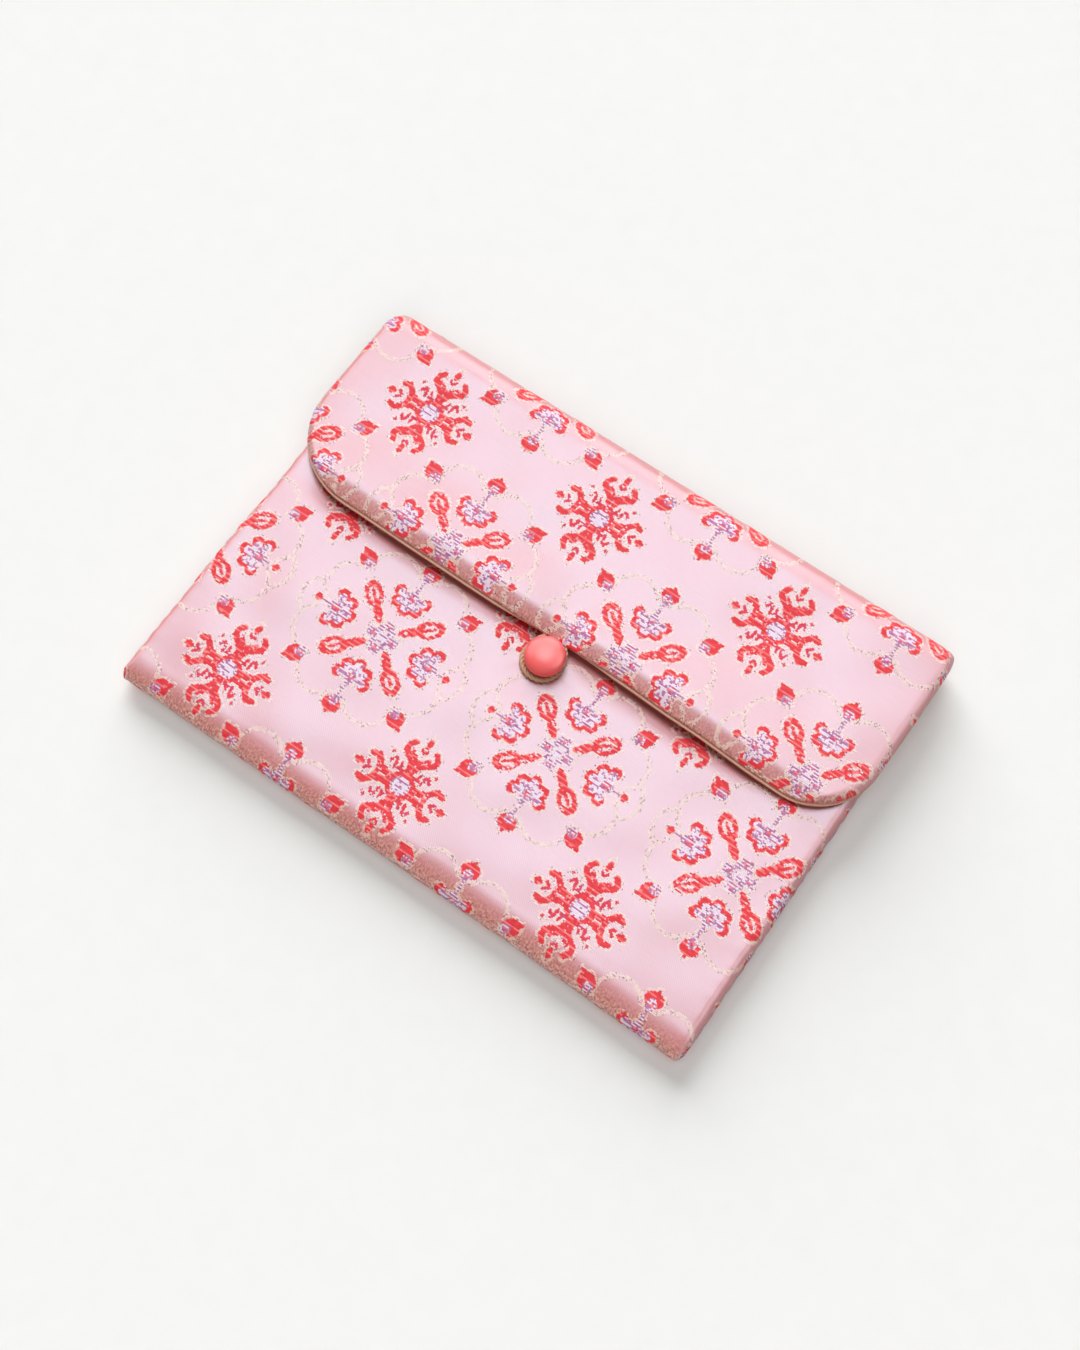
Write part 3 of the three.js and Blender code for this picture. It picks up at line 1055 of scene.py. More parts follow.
class MeshMaker:
    """Gathers grids of points, and makes them into one piece."""

    def __init__(self) -> None:
        """Starts with nothing."""
        self.points: list[Array] = []
        self.weave: list[Array] = []
        self.bake: list[Array] = []
        self.faces: list[Array] = []
        self.maps: list[Array] = []
        self.count = 0

    def put(self, points: Array, weave: Array, bake: Array) -> Array:
        """Adds points.

        Args:
            points: The points, in any array shape.
            weave: Their places on the cloth.
            bake: Their places on the bake map.

        Returns:
            Their numbers in that shape.
        """
        shape = points.shape[:-1]
        self.points.append(points.reshape(-1, 3))
        self.weave.append(np.broadcast_to(weave, (*shape, 2)).reshape(-1, 2))
        self.bake.append(np.broadcast_to(bake, (*shape, 2)).reshape(-1, 2))
        numbers = self.count + np.arange(math.prod(shape)).reshape(shape)
        self.count += math.prod(shape)
        return numbers

    def grid(self, numbers: Array, welded: Array | None = None, turned: bool = False) -> None:
        """Adds the faces of one or many grids of points.

        Args:
            numbers: The points' numbers, rows then columns in the last two axes.
            welded: The same with the points that two edges share given one number.
            turned: True where the faces look the other way.
        """
        for target, source in ((self.maps, numbers), (self.faces, numbers if welded is None else welded)):
            ring = (source[..., :-1, :-1], source[..., :-1, 1:], source[..., 1:, 1:], source[..., 1:, :-1])
            cells = np.stack(ring[::-1] if turned else ring, axis=-1)
            target.append(cells.reshape(-1, 4))

    def turned_round(self, points: Array, weave: Array, bake: Array) -> None:
        """Adds a closed round shape.

        Args:
            points: Rows of rings that start and end in a point.
            weave: Their places on the cloth.
            bake: Their places on the bake map.
        """
        numbers = self.put(points, weave, bake)
        welded = numbers.copy()
        welded[:, -1] = welded[:, 0]
        welded[0] = welded[0, 0]
        welded[-1] = welded[-1, 0]
        self.grid(numbers, welded)

    def piece(self, name: str, material: Material, slot: Slot) -> Piece:
        """Makes the piece.

        Args:
            name: Its name.
            material: Its finish.
            slot: The record's slot for that finish. It is not used.

        Returns:
            The object, riding on the pouch's one body.
        """
        faces = np.concatenate(self.faces)
        maps = np.concatenate(self.maps)
        # A face with two corners welded into one is a triangle. One with fewer corners left is dropped.
        again = faces == np.roll(faces, -1, axis=1)
        quads = ~again.any(axis=1) & (faces[:, 0] != faces[:, 2]) & (faces[:, 1] != faces[:, 3])
        wedges = again.sum(axis=1) == 1
        keep = np.argsort(again[wedges], axis=1, kind="stable")[:, :3]
        keep.sort(axis=1)
        triangles = np.take_along_axis(faces[wedges], keep, axis=1)
        corners_used = np.concatenate((faces[quads].ravel(), triangles.ravel()))
        map_triangles = np.take_along_axis(maps[wedges], keep, axis=1)
        map_used = np.concatenate((maps[quads].ravel(), map_triangles.ravel()))
        used, corners_used = np.unique(corners_used, return_inverse=True)
        split = 4 * int(quads.sum())
        rings = corners_used[:split].reshape(-1, 4).tolist() + corners_used[split:].reshape(-1, 3).tolist()
        mesh = bpy.data.meshes.new(name)
        mesh.from_pydata((np.concatenate(self.points)[used] * MM).tolist(), [], rings)
        for map_name, places in ((WEAVE_MAP, self.weave), (BAKE_MAP, self.bake)):
            layer = mesh.uv_layers.new(name=map_name)
            layer.data.foreach_set("uv", np.concatenate(places)[map_used].astype(np.float32).ravel())
        mesh.polygons.foreach_set("use_smooth", np.ones(len(mesh.polygons), dtype=bool))
        mesh.materials.append(material)
        mesh.update()
        piece = placed(name, mesh)
        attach(piece, "root")
        return piece


class ClothGrid:
    """A curved cloth as a grid of points, columns along its wefts and rows along its warp.

    Attributes:
        last_cell: How far before the grid's end places are held, so that they lie in a cell.
    """

    last_cell: float = 1.001

    def __init__(self, points: Array) -> None:
        """Takes the points, rows by columns by 3."""
        self.points = points
        self.normals = self._normals()

    def _normals(self) -> Array:
        """The outward directions of the grid."""
        out = np.cross(np.gradient(self.points, axis=1), np.gradient(self.points, axis=0))
        return unit(out)

    def swell(self, height: Array) -> None:
        """Moves each point out by its height."""
        self.points = self.points + self.normals * height[..., None]
        self.normals = self._normals()

    def lay(self, row: Array, column: Array, lift: Array) -> Array:
        """Points lifted off the cloth.

        Args:
            row: Their rows, also between two.
            column: Their columns, also between two.
            lift: How far each is lifted.

        Returns:
            The points.
        """
        rows, columns = self.points.shape[:2]
        r = np.clip(row, 0.0, rows - self.last_cell)
        c = np.clip(column, 0.0, columns - self.last_cell)
        r0 = r.astype(int)
        c0 = c.astype(int)
        down = (r - r0)[..., None]
        over = (c - c0)[..., None]

        def between(values: Array) -> Array:
            """Values between the four points round each place.

            Args:
                values: The values at the grid's points.

            Returns:
                The values at the places.
            """
            near = mix(values[r0, c0], values[r0, c0 + 1], over)
            far = mix(values[r0 + 1, c0], values[r0 + 1, c0 + 1], over)
            return mix(near, far, down)

        return between(self.points) + between(self.normals) * lift[..., None]


@dataclass
class Weaver:
    """Lays the floats of the brocade on a cloth."""

    brocade: Brocade = Brocade()
    edge_lift: float = 0.012

    def __post_init__(self) -> None:
        """Makes the finish of each thread."""
        self.materials = {finish.yarn: finish.material() for finish in YARN_FINISHES}

    def weave(self, cloth: Pocket | Flap) -> list[Piece]:
        """Weaves the floats of a cloth.

        Args:
            cloth: The cloth.

        Returns:
            A piece for each thread.
        """
        span, rows = cloth.weave_limits()
        floats = cloth.trimmed(self.brocade.floats(span, rows, cloth.rosette))
        return [self._piece(cloth, floats, finish) for finish in YARN_FINISHES]

    def _piece(self, cloth: Pocket | Flap, floats: Floats, finish: YarnFinish) -> Piece:
        """Makes the floats of one thread, small strips that rise out of the cloth and go back in.

        Args:
            cloth: The cloth.
            floats: The floats of all threads.
            finish: The finish of the thread.

        Returns:
            The piece.
        """
        floats = floats.pick(floats.yarn == finish.yarn)
        along = np.array((0.0, 0.5, 1.0))[:, None]
        across = np.array((-1.0, 0.0, 1.0))[None, :]
        half = self.brocade.pitch * finish.fullness / 2
        u = mix(floats.start[:, None, None], floats.end[:, None, None], along) + 0.0 * across
        v = floats.line[:, None, None] + half * across + 0.0 * along
        rise = np.stack((floats.start_rise, np.ones(len(floats.line)), floats.end_rise), axis=1)
        lift = self.edge_lift + finish.crown * rise[:, :, None] * (1.0 - np.abs(across))
        row, column = cloth.locate(u, v)
        maker = MeshMaker()
        points = cloth.grid.lay(row, column, lift)
        maker.grid(maker.put(points, pairs(u, v), cloth.bake_place(u, v)), turned=True)
        name = f"{cloth.name}_{finish.yarn.name.lower()}_floats"
        return maker.piece(name, self.materials[finish.yarn], Slot.BROCADE)


@dataclass
class Pocket:
    """The bag: front, bottom fold and back are one strip of brocade, closed by a seam at each side.

    Attributes:
        rosette: The middle of a rosette on the strip.
        right_sag: How much lower the bottom fold hangs at its right end.
        crown: How much higher the front stands in its middle.
        slump: How far the front sinks towards the bottom fold.
        seam_z: The height of the seams and the bottom fold.
        wall: The thickness of the cloth, and seam_wall that at the seams.
        corner_power: How square the lower corners are.
        hollow_rows: How many rows each face has inside.
        woven_under_flap: How far up the front is woven, under the flap.
        ripple: The height of the ripples, and roll_ripple the share left on the bottom roll.
        pleat_start: How far from the button's middle the pleats start. Beyond pleat_full they fade.
        outer_bake: The share of the bake map for the outer skin. The skin inside lies beyond it.
    """

    centre_x: float
    half_width: float
    bottom_y: float
    back_mouth_y: float
    name: str = "pocket"
    rosette: Point = (-71.59, -53.7)
    right_sag: float = 0.8
    sag_from_x: float = 30.0
    front_mouth_drop: float = 1.0
    height: float = 8.9
    crown: float = 0.5
    slump: float = 0.8
    slump_from_y: float = -28.0
    seam_z: float = 4.2
    back_z: float = 0.1
    wall: float = 1.5
    seam_wall: float = 2.2
    side_roll: float = 3.0
    bottom_roll: float = 9.0
    corner_power: float = 4.0
    cell: float = 1.25
    roll_cells: int = 14
    hollow_rows: int = 20
    woven_under_flap: float = 16.0
    ripple: float = 0.2
    roll_ripple: float = 0.3
    ripple_fade: float = 12.0
    ripple_end: float = 6.0
    ripples: Ripple = Ripple(3, 26.0)
    seam_groove: float = 0.12
    groove_reach: float = 0.8
    seam_pucker: float = 0.14
    pucker_reach: float = 5.0
    pucker_pitch: float = 5.4
    pucker_stray: float = 2.0
    pulls: Ripple = Ripple(5, 30.0)
    button_pucker: float = 0.24
    button_pleats: int = 13
    pleat_start: float = 4.0
    pleat_grows: float = 2.5
    pleat_full: float = 6.0
    pleat_reach: float = 4.5
    pleat_above: float = 0.35
    pleat_turns: float = 8.0
    pleat_waves: Ripple = Ripple(8, 14.0)
    outer_bake: Point = (1.0, 0.78)
    inner_bake: Point = (1.0, 0.19)
    inner_bake_from: Point = (0.0, 0.805)
    dents: tuple[Dent, ...] = (
        Dent(3.5, -2.0, 24.0, 17.0, 0.55),
        Dent(-58.0, -42.0, 34.0, 20.0, 0.35),
        Dent(52.0, -34.0, 30.0, 24.0, 0.3),
        Dent(-12.0, -60.0, 30.0, 14.0, 0.3),
        Dent(-79.0, 21.0, 23.0, 20.0, 1.7),
        Dent(-42.0, 10.0, 82.0, 9.5, 1.1),
        Dent(38.0, 10.0, 74.0, 11.0, 1.5),
    )

    def __post_init__(self) -> None:
        """Works out the strip: its columns across, its rows along, and its points."""
        self.front_mouth_y = self.back_mouth_y - self.front_mouth_drop
        self.roll_top = self.bottom_y + self.bottom_roll
        turns = np.linspace(0.0, QUARTER_TURN, self.roll_cells + 1)
        self._lay_out_columns(turns)
        self._lay_out_rows(turns)
        self.grid = ClothGrid(self._strip(0.0, 0.0))
        self.grid.swell(self._unevenness())

    @classmethod
    def from_frame(cls) -> Pocket:
        """The pocket with its outline taken from the CAD node."""
        low, high = corners("pocket")
        return cls(middle_of("pocket")[0], (high[0] - low[0]) / 2, low[1] + cls.right_sag, high[1])

    def _lay_out_columns(self, turns: Array) -> None:
        """Sets where the columns lie: a flat middle and a roll at each side.

        Args:
            turns: How far round a roll each of its columns is.
        """
        flat_half = self.half_width - self.side_roll
        side = flat_half + arc_lengths(self.side_roll, self.height - self.seam_z, turns)[1:]
        flat = np.linspace(-flat_half, flat_half, round(2 * flat_half / self.cell) + 1)
        ones = np.ones(self.roll_cells)
        self.column_turns = np.concatenate((-turns[:0:-1], 0.0 * flat, turns[1:]))
        self.column_flat = np.concatenate((-ones, flat / flat_half, ones))
        self.across = self.centre_x + np.concatenate((-side[::-1], flat, side))

    def _lay_out_rows(self, turns: Array) -> None:
        """Sets where the rows of one face lie, and how far along the strip each row of both is.

        Args:
            turns: How far round the roll each of its rows is.
        """
        run = round((self.front_mouth_y - self.roll_top) / self.cell)
        self.row_shares = np.concatenate((np.linspace(0.0, 1.0, run + 1), np.ones(self.roll_cells)))
        self.row_turns = np.concatenate((np.zeros(run + 1), turns[1:]))
        front = arc_lengths(self.bottom_roll, self.height - self.seam_z, turns)
        back = arc_lengths(self.bottom_roll, self.seam_z - self.back_z, turns)
        fold = self.roll_top - front[-1]
        front_flat = np.linspace(self.front_mouth_y, self.roll_top, run + 1)
        back_flat = fold - back[-1] - np.linspace(self.back_mouth_y - self.roll_top, 0.0, run + 1)
        front_v = np.concatenate((front_flat, self.roll_top - front[1:]))
        back_v = np.concatenate((back_flat, fold - (back[-1] - back)[1:]))
        self.along = np.concatenate((back_v, front_v[-2::-1]))

    def front_crown(self, x: Array | float) -> Array:
        """The height of the front before it is dented."""
        share = (np.asarray(x) - self.centre_x) / self.half_width
        return self.height + self.crown * np.maximum(0.0, 1.0 - share * share)

    def front_face(self, x: Array | float, y: Array | float) -> Array:
        """The front's outer face away from its rolled edges.

        Args:
            x: Places across, in the frame.
            y: Places along, in the frame.

        Returns:
            Its height at the places.
        """
        y = np.asarray(y)
        low = np.clip((self.slump_from_y - y) / (self.slump_from_y - self.roll_top), 0.0, 1.0)
        dented = sum(dent.at(np.asarray(x), y) for dent in self.dents)
        return self.front_crown(x) - self.slump * low * low - dented

    def bottom_sag(self, x: Array) -> Array:
        """How much lower the bottom fold hangs towards the right."""
        return self.right_sag * ease((x - self.sag_from_x) / (self.half_width - self.sag_from_x))

    def _strip(self, wall: float, seam_wall: float) -> Array:
        """The points of one skin, from the mouth of the back round the bottom to the mouth of the front.

        Args:
            wall: How far the skin lies inside the outer one on the faces.
            seam_wall: The same at the seams and the bottom fold.

        Returns:
            Rows by columns by 3.
        """
        power = self.corner_power
        flat_half = self.half_width - seam_wall - self.side_roll + wall
        bottom_roll = self.bottom_roll - wall
        roll_top = self.bottom_y + seam_wall + bottom_roll
        down = np.sin(self.row_turns)[:, None]
        reach = np.maximum(0.0, 1.0 - down**power) ** (1.0 / power)
        out = reach * np.sin(np.abs(self.column_turns))[None, :]
        x = self.centre_x + self.column_flat[None, :] * flat_half
        x = x + np.sign(self.column_turns)[None, :] * (self.side_roll - wall) * out
        level = np.sqrt(np.maximum(0.0, 1.0 - (out**power + down**power) ** (2.0 / power)))
        seam_mouth = (self.front_mouth_y + self.back_mouth_y) / 2
        faces = []
        for mouth_y in (self.back_mouth_y, self.front_mouth_y):
            mouth = mix(seam_mouth, mouth_y, np.cos(self.column_turns))[None, :]
            y = mix(mouth, roll_top - self.bottom_sag(x), self.row_shares[:, None]) - bottom_roll * down
            front = mouth_y == self.front_mouth_y
            face = self.front_face(x, y) - wall if front else np.full(x.shape, self.back_z + wall)
            faces.append(np.stack((x, y, mix(self.seam_z, face, level)), axis=-1))
        back, front = faces
        return np.concatenate((back, front[-2::-1]))

    def _unevenness(self) -> Array:
        """How far the cloth stands off its even shape: ripples, and the puckers of the seams and button.

        Returns:
            The heights, by row and column.
        """
        u, v = np.meshgrid(self.across, self.along)
        front = ease((v - self.roll_top + self.ripple_fade) / self.ripple_fade)
        height = self.ripple * mix(self.roll_ripple, 1.0, front) * self.ripples.at(u, v)
        height = np.where(v > self.along[len(self.along) // 2] - self.ripple_end, height, 0.0)
        from_seam = self.across[-1] - self.centre_x - np.abs(u - self.centre_x)
        pull = np.sin(math.tau * v / self.pucker_pitch + self.pucker_stray * self.pulls.at(u, v))
        height = height + self.seam_pucker * np.exp(-((from_seam / self.pucker_reach) ** 2)) * pull
        height = height - self.seam_groove * np.exp(-((from_seam / self.groove_reach) ** 2))
        return height - self.button_pucker * front * self._pleats(u, v)

    def _pleats(self, u: Array, v: Array) -> Array:
        """The short pleats that run out from under the button.

        Args:
            u: Places across the strip.
            v: Places along the strip.

        Returns:
            Their depths, from 0 to 1.
        """
        middle = middle_of("button")
        dx = u - middle[0]
        dy = v - middle[1]
        far = np.hypot(dx, dy)
        fade = np.exp(-((np.maximum(0.0, far - self.pleat_full) / self.pleat_reach) ** 2))
        ring = ease((far - self.pleat_start) / self.pleat_grows) * fade
        below = mix(self.pleat_above, 1.0, ease(0.5 - dy / self.pleat_turns))
        wave = np.sin(self.button_pleats * np.arctan2(dy, dx) + self.pleat_waves.at(u, v))
        return ring * below * (0.5 + 0.5 * wave)

    def weave_limits(self) -> tuple[Span, Span]:
        """From where to where the strip is woven, across and along."""
        return (self.across[0], self.across[-1]), (self.along[0], self.woven_under_flap)

    def trimmed(self, floats: Floats) -> Floats:
        """Cuts floats off at the sides of the strip.

        Args:
            floats: Floats woven over its limits.

        Returns:
            The same floats, cut.
        """
        floats.start = np.maximum(floats.start, self.across[0])
        floats.end = np.minimum(floats.end, self.across[-1])
        return floats

    def locate(self, u: Array, v: Array) -> tuple[Array, Array]:
        """The rows and columns of places on the strip."""
        return count_along(v, self.along), count_along(u, self.across)

    def bake_place(self, u: Array, v: Array) -> Array:
        """Lays the strip flat on a unit square.

        Args:
            u: Places across the strip.
            v: Places along the strip.

        Returns:
            The places on the bake map.
        """
        over = (u - self.across[0]) / (self.across[-1] - self.across[0])
        up = (v - self.along[0]) / (self.along[-1] - self.along[0])
        return bake_square(over, up)

    def _welded(self, numbers: Array) -> Array:
        """Closes the side seams of a skin and the ends of its bottom fold.

        Args:
            numbers: The numbers of the skin's points.

        Returns:
            The numbers with those of the seams shared.
        """
        welded = numbers.copy()
        fold = len(welded) // 2
        for edge in (0, -1):
            welded[fold + 1 :, edge] = welded[:fold, edge][::-1]
        welded[fold, : self.roll_cells] = welded[fold, self.roll_cells]
        welded[fold, -self.roll_cells :] = welded[fold, -self.roll_cells - 1]
        return welded

    def build(self, material: Material) -> Piece:
        """Builds the cloth of the pocket, a closed shell with an open mouth.

        Args:
            material: The satin.

        Returns:
            The piece.
        """
        u, v = np.meshgrid(self.across, self.along)
        weave = pairs(u, v)
        skins = self.bake_place(u, v)
        maker = MeshMaker()
        inside = skins * self.inner_bake + self.inner_bake_from
        outer = maker.put(self.grid.points, weave, skins * self.outer_bake)
        inner = maker.put(self._strip(self.wall, self.seam_wall), weave, inside)
        outer_welded = self._welded(outer)
        inner_welded = self._welded(inner)
        maker.grid(outer, outer_welded)
        thin = self._thinned(len(self.along))
        maker.grid(inner[thin], inner_welded[thin], turned=True)
        for row, turned in ((0, True), (-1, False)):
            rim = np.stack((outer[row], inner[row]))
            maker.grid(rim, np.stack((outer_welded[row], inner_welded[row])), turned=turned)
        piece = maker.piece("pocket_cloth", material, Slot.BROCADE)
        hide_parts("pocket")
        return piece

    def _thinned(self, rows: int) -> Array:
        """Fewer rows for the skin inside, the same from both mouths to the fold."""
        half = np.unique(np.linspace(0, rows // 2, self.hollow_rows).round().astype(int))
        return np.concatenate((half, (rows - 1 - half)[-2::-1]))

    def flat_size(self) -> tuple[float, float]:
        """The cut of the strip, in metres."""
        return (self.across[-1] - self.across[0]) * MM, (self.along[-1] - self.along[0]) * MM


@dataclass(frozen=True)
class EdgeStop:
    """A place on the flap's lower edge: how high it lies on the front, and how far it stands off."""

    x: float
    y: float
    lift: float


@dataclass(frozen=True)
class RoundCorner:
    """A round corner of the flap."""

    across: float
    up: float


@dataclass(frozen=True)
class Layer:
    """A layer of the flap: how far it shows below the brocade's edge, and where it ends on the back."""

    peek: Callable[[Array], Array]
    back_end: float


@dataclass
class Flap:
    """The flap's two layers: they leave the back, turn at the top fold and lie down over the front.

    Attributes:
        rosette: The middle of a rosette on the flap.
        right_taper: How much narrower the flap is at its right lower end.
        left_end: How far the top fold is drawn in at its left end, and right_end at its right.
        end_power: How suddenly it is drawn in.
        tuck_reach: How far beside the loop the lining is tucked in.
        edge_roll: How far in the free edges are rolled, and side_roll the same at the sides.
        loft: How far the flap stands over the front, less where it is dented.
        side_crowding: How much closer the columns lie at the sides, and edge_crowding rows at the edge.
        billow: The height of the soft waves.
        bake_room: The room left on the bake map below and above the brocade.
        face_over: Where a face lies on the bake map, and under_face how far on the one under it lies.
    """

    pocket: Pocket
    half_width: float
    top_y: float
    loop_x: float
    name: str = "flap"
    rosette: Point = (-71.24, 46.86)
    right_taper: float = 0.7
    fold_reach: float = 9.1
    left_end: float = 3.3
    right_end: float = 1.7
    end_power: int = 4
    cloth: float = 2.2
    lining: float = 1.0
    lining_shows: float = 0.6
    tuck_reach: float = 24.0
    edge_roll: float = 8.0
    side_roll: float = 3.2
    edge_curl: float = 0.8
    curl_reach: float = 6.0
    thinnest_edge: float = 0.5
    loft: float = 0.6
    lift_reach: float = 28.0
    side_droop: float = 0.6
    droop_reach: float = 14.0
    across_cells: int = 168
    run_cells: int = 60
    fold_cells: int = 30
    back_cells: int = 2
    side_crowding: float = 0.55
    edge_crowding: float = 1.35
    billow: float = 0.4
    waves: Ripple = Ripple(17, 30.0)
    edge_pucker: float = 0.1
    pucker_reach: float = 5.0
    pucker_stretch: float = 0.3
    pulls: Ripple = Ripple(19, 16.0)
    shortest_float: float = 0.1
    lowest_row: float = 0.2
    bake_room: Span = (1.0, 3.0)
    face_over: Span = (0.01, 0.99)
    face_up: Span = (0.005, 0.485)
    under_face: Point = (0.0, 0.5)
    left: RoundCorner = RoundCorner(28.0, 26.0)
    right: RoundCorner = RoundCorner(20.0, 20.0)
    edge: tuple[EdgeStop, ...] = (
        EdgeStop(-102.0, 8.4, 0.6),
        EdgeStop(-75.0, 8.3, 1.8),
        EdgeStop(-50.0, 7.7, 2.3),
        EdgeStop(-14.0, 7.6, 1.6),
        EdgeStop(4.0, 7.9, 0.6),
        EdgeStop(19.0, 8.2, 1.4),
        EdgeStop(50.0, 7.3, 1.9),
        EdgeStop(75.0, 6.5, 1.3),
        EdgeStop(102.0, 6.5, 0.5),
    )
    dents: tuple[Dent, ...] = (
        Dent(0.0, 20.0, 16.0, 26.0, 0.95),
        Dent(-62.0, 48.0, 32.0, 18.0, 0.6),
        Dent(58.0, 46.0, 36.0, 20.0, 0.6),
    )

    def __post_init__(self) -> None:
        """Works out the rows and columns of the layers, and the outer face of the brocade."""
        self.fold_y = self.top_y - self.fold_reach
        self.stack = self.lining + GAP + self.cloth
        even = np.linspace(0.0, 1.0, self.across_cells + 1)
        self.shares = mix(even, (1.0 - np.cos(math.pi * even)) / 2.0, self.side_crowding)
        self.runs = np.linspace(0.0, 1.0, self.run_cells + 1) ** self.edge_crowding
        turns = np.linspace(0.0, math.pi, self.fold_cells + 1)[1:]
        deep = (self.pocket.height + self.loft + GAP + self.stack) / 2
        self.fold_v = self.fold_y + arc_lengths(self.fold_reach, deep, turns)
        self.turns = np.concatenate((0.0 * self.runs, turns, np.full(self.back_cells, math.pi)))
        self.all_runs = np.concatenate((self.runs, np.ones(len(turns) + self.back_cells)))
        self.brocade_layer = Layer(lambda x: 0.0 * x, self.pocket.back_mouth_y + GAP)
        self.lining_layer = Layer(self.lining_peek, self.pocket.back_mouth_y + self.lining)
        self.grid = ClothGrid(self._face(self.brocade_layer, self._rolled))

    @classmethod
    def from_frame(cls, pocket: Pocket) -> Flap:
        """Takes the outline of the flap from the CAD nodes.

        Args:
            pocket: The pocket that it lies on.

        Returns:
            The flap.
        """
        low, high = corners("flap")
        return cls(pocket, (high[0] - low[0]) / 2, high[1], middle_of("button_loop")[0])

    def _read(self, column: str, x: Array | float) -> Array:
        """Reads the lower edge's table smoothly between its stops.

        Args:
            column: The name of a column.
            x: Places across, in the frame.

        Returns:
            The values at the places.
        """
        places = np.array([stop.x for stop in self.edge])
        values = np.array([getattr(stop, column) for stop in self.edge])
        after = np.clip(np.searchsorted(places, x), 1, len(places) - 1)
        share = (np.asarray(x) - places[after - 1]) / (places[after] - places[after - 1])
        return mix(values[after - 1], values[after], ease(share))

    def edge_y(self, x: Array | float) -> Array:
        """How high the flap's lower edge lies on the front."""
        return self._read("y", x)

    def lining_peek(self, x: Array) -> Array:
        """How far the lining shows below the brocade's edge. It is tucked in where the loop is sewn on."""
        tucked = 1.0 - ease(np.abs(x - self.loop_x) / self.tuck_reach)
        return mix(self.lining_shows, -2.0 * GAP, tucked)

    def curl(self, away: Array) -> Array:
        """How far the flap curls down towards the front, a way in from its free edge."""
        return self.edge_curl * (1.0 - ease(away / self.curl_reach))

    def underside(self, x: Array | float, y: Array | float) -> Array:
        """How high the flap's lining lies over the front, before its edge curls down.

        Args:
            x: Places across, in the frame.
            y: Places along, in the frame.

        Returns:
            The heights at the places.
        """
        x = np.asarray(x)
        y = np.asarray(y)
        above = y - self.edge_y(x)
        lift = self._read("lift", x) * (1.0 - ease(above / self.lift_reach))
        loft = self.loft * np.maximum(0.0, 1.0 - sum(dent.at(x, y) for dent in self.dents))
        over = np.maximum(0.0, np.abs(x) - self.half_width + self.droop_reach) / self.droop_reach
        billow = self.billow * (0.5 + 0.5 * np.clip(self.waves.at(x, y), -1.0, 1.0))
        fade = np.exp(-np.maximum(0.0, above) / self.pucker_reach)
        pucker = self.edge_pucker * fade * (1.0 + self.pulls.at(x, self.pucker_stretch * y))
        droop = self.side_droop * over * over
        return self.pocket.front_crown(x) + GAP + loft + lift + billow + pucker - droop

    def _sides(self, above: Array, below: float) -> tuple[Array, Array]:
        """The left and right edge of a layer, a way above its lower edge, before the top fold narrows it.

        Args:
            above: How far above its lower edge.
            below: How far the layer hangs below the brocade.

        Returns:
            The places across of both edges.
        """

        def cut(corner: RoundCorner) -> Array:
            """How much a round corner takes off."""
            short = np.maximum(0.0, 1.0 - above / (corner.up + below))
            return corner.across * (1.0 - np.sqrt(1.0 - short * short))

        taper = self.right_taper * (1.0 - ease(above / (self.fold_y - self.right.up)))
        behind = ease(self.turns / math.pi)[:, None]
        left = mix(-self.half_width + cut(self.left), self.pocket.centre_x - self.pocket.half_width, behind)
        right_edge = self.half_width - taper - cut(self.right)
        return left, mix(right_edge, self.pocket.centre_x + self.pocket.half_width, behind)

    def _ends(self, sides: tuple[Array, Array]) -> tuple[Array, Array]:
        """The edges drawn in at the two ends of the top fold."""
        crest = 1.0 - np.sqrt(1.0 - np.sin(self.turns[:, None]) ** self.end_power)
        return sides[0] + self.left_end * crest, sides[1] - self.right_end * crest

    def _rolled(self, away: Array) -> Array:
        """The height of the brocade's outer face, rolled down towards the edge."""
        flat = 1.0 - np.clip(away / self.edge_roll, 0.0, 1.0)
        return self.lining + GAP + mix(self.thinnest_edge, self.cloth, np.sqrt(1.0 - flat * flat))

    def _face(self, layer: Layer, height_at: Callable[[Array], Array]) -> Array:
        """One face of a layer.

        Args:
            layer: The layer.
            height_at: How high the face lies above the lining's underside, so far from the free edge.

        Returns:
            Rows by columns by 3.
        """
        below = float(layer.peek(np.array(-self.half_width)))
        turn = self.turns[:, None]
        above = self.all_runs[:, None] * (self.fold_y - self.edge_y(0.0) + below)
        sides = self._sides(above, below)
        left, right = self._ends(sides)
        x = mix(left, right, self.shares[None, :])
        run_y = mix(self.edge_y(x) - layer.peek(x), self.fold_y, self.all_runs[:, None])
        from_edge = np.where(turn > 0.0, self.fold_y, above - below)
        from_side = np.minimum(x - sides[0], sides[1] - x) * self.edge_roll / self.side_roll
        away = np.minimum(from_edge, from_side)
        height = height_at(away) - self.curl(away) * np.maximum(0.0, np.cos(turn))
        back_z = self.stack - height
        top_z = self.underside(x, run_y) + height
        back = np.zeros((len(self.turns), 1))
        back[-self.back_cells :, 0] = np.linspace(0.0, self.fold_y - layer.back_end, self.back_cells + 1)[1:]
        y = run_y + (self.fold_reach - self.stack + height) * np.sin(turn) - back
        z = (top_z + back_z) / 2 + (top_z - back_z) / 2 * np.cos(turn)
        return np.stack((x, y, z), axis=-1)

    @property
    def lowest(self) -> float:
        """How high the lowest place of the lower edge lies."""
        return min(stop.y for stop in self.edge)

    def weave_limits(self) -> tuple[Span, Span]:
        """From where to where the brocade is woven, across and along."""
        return (-self.half_width, self.half_width), (self.lowest, self.fold_v[-2])

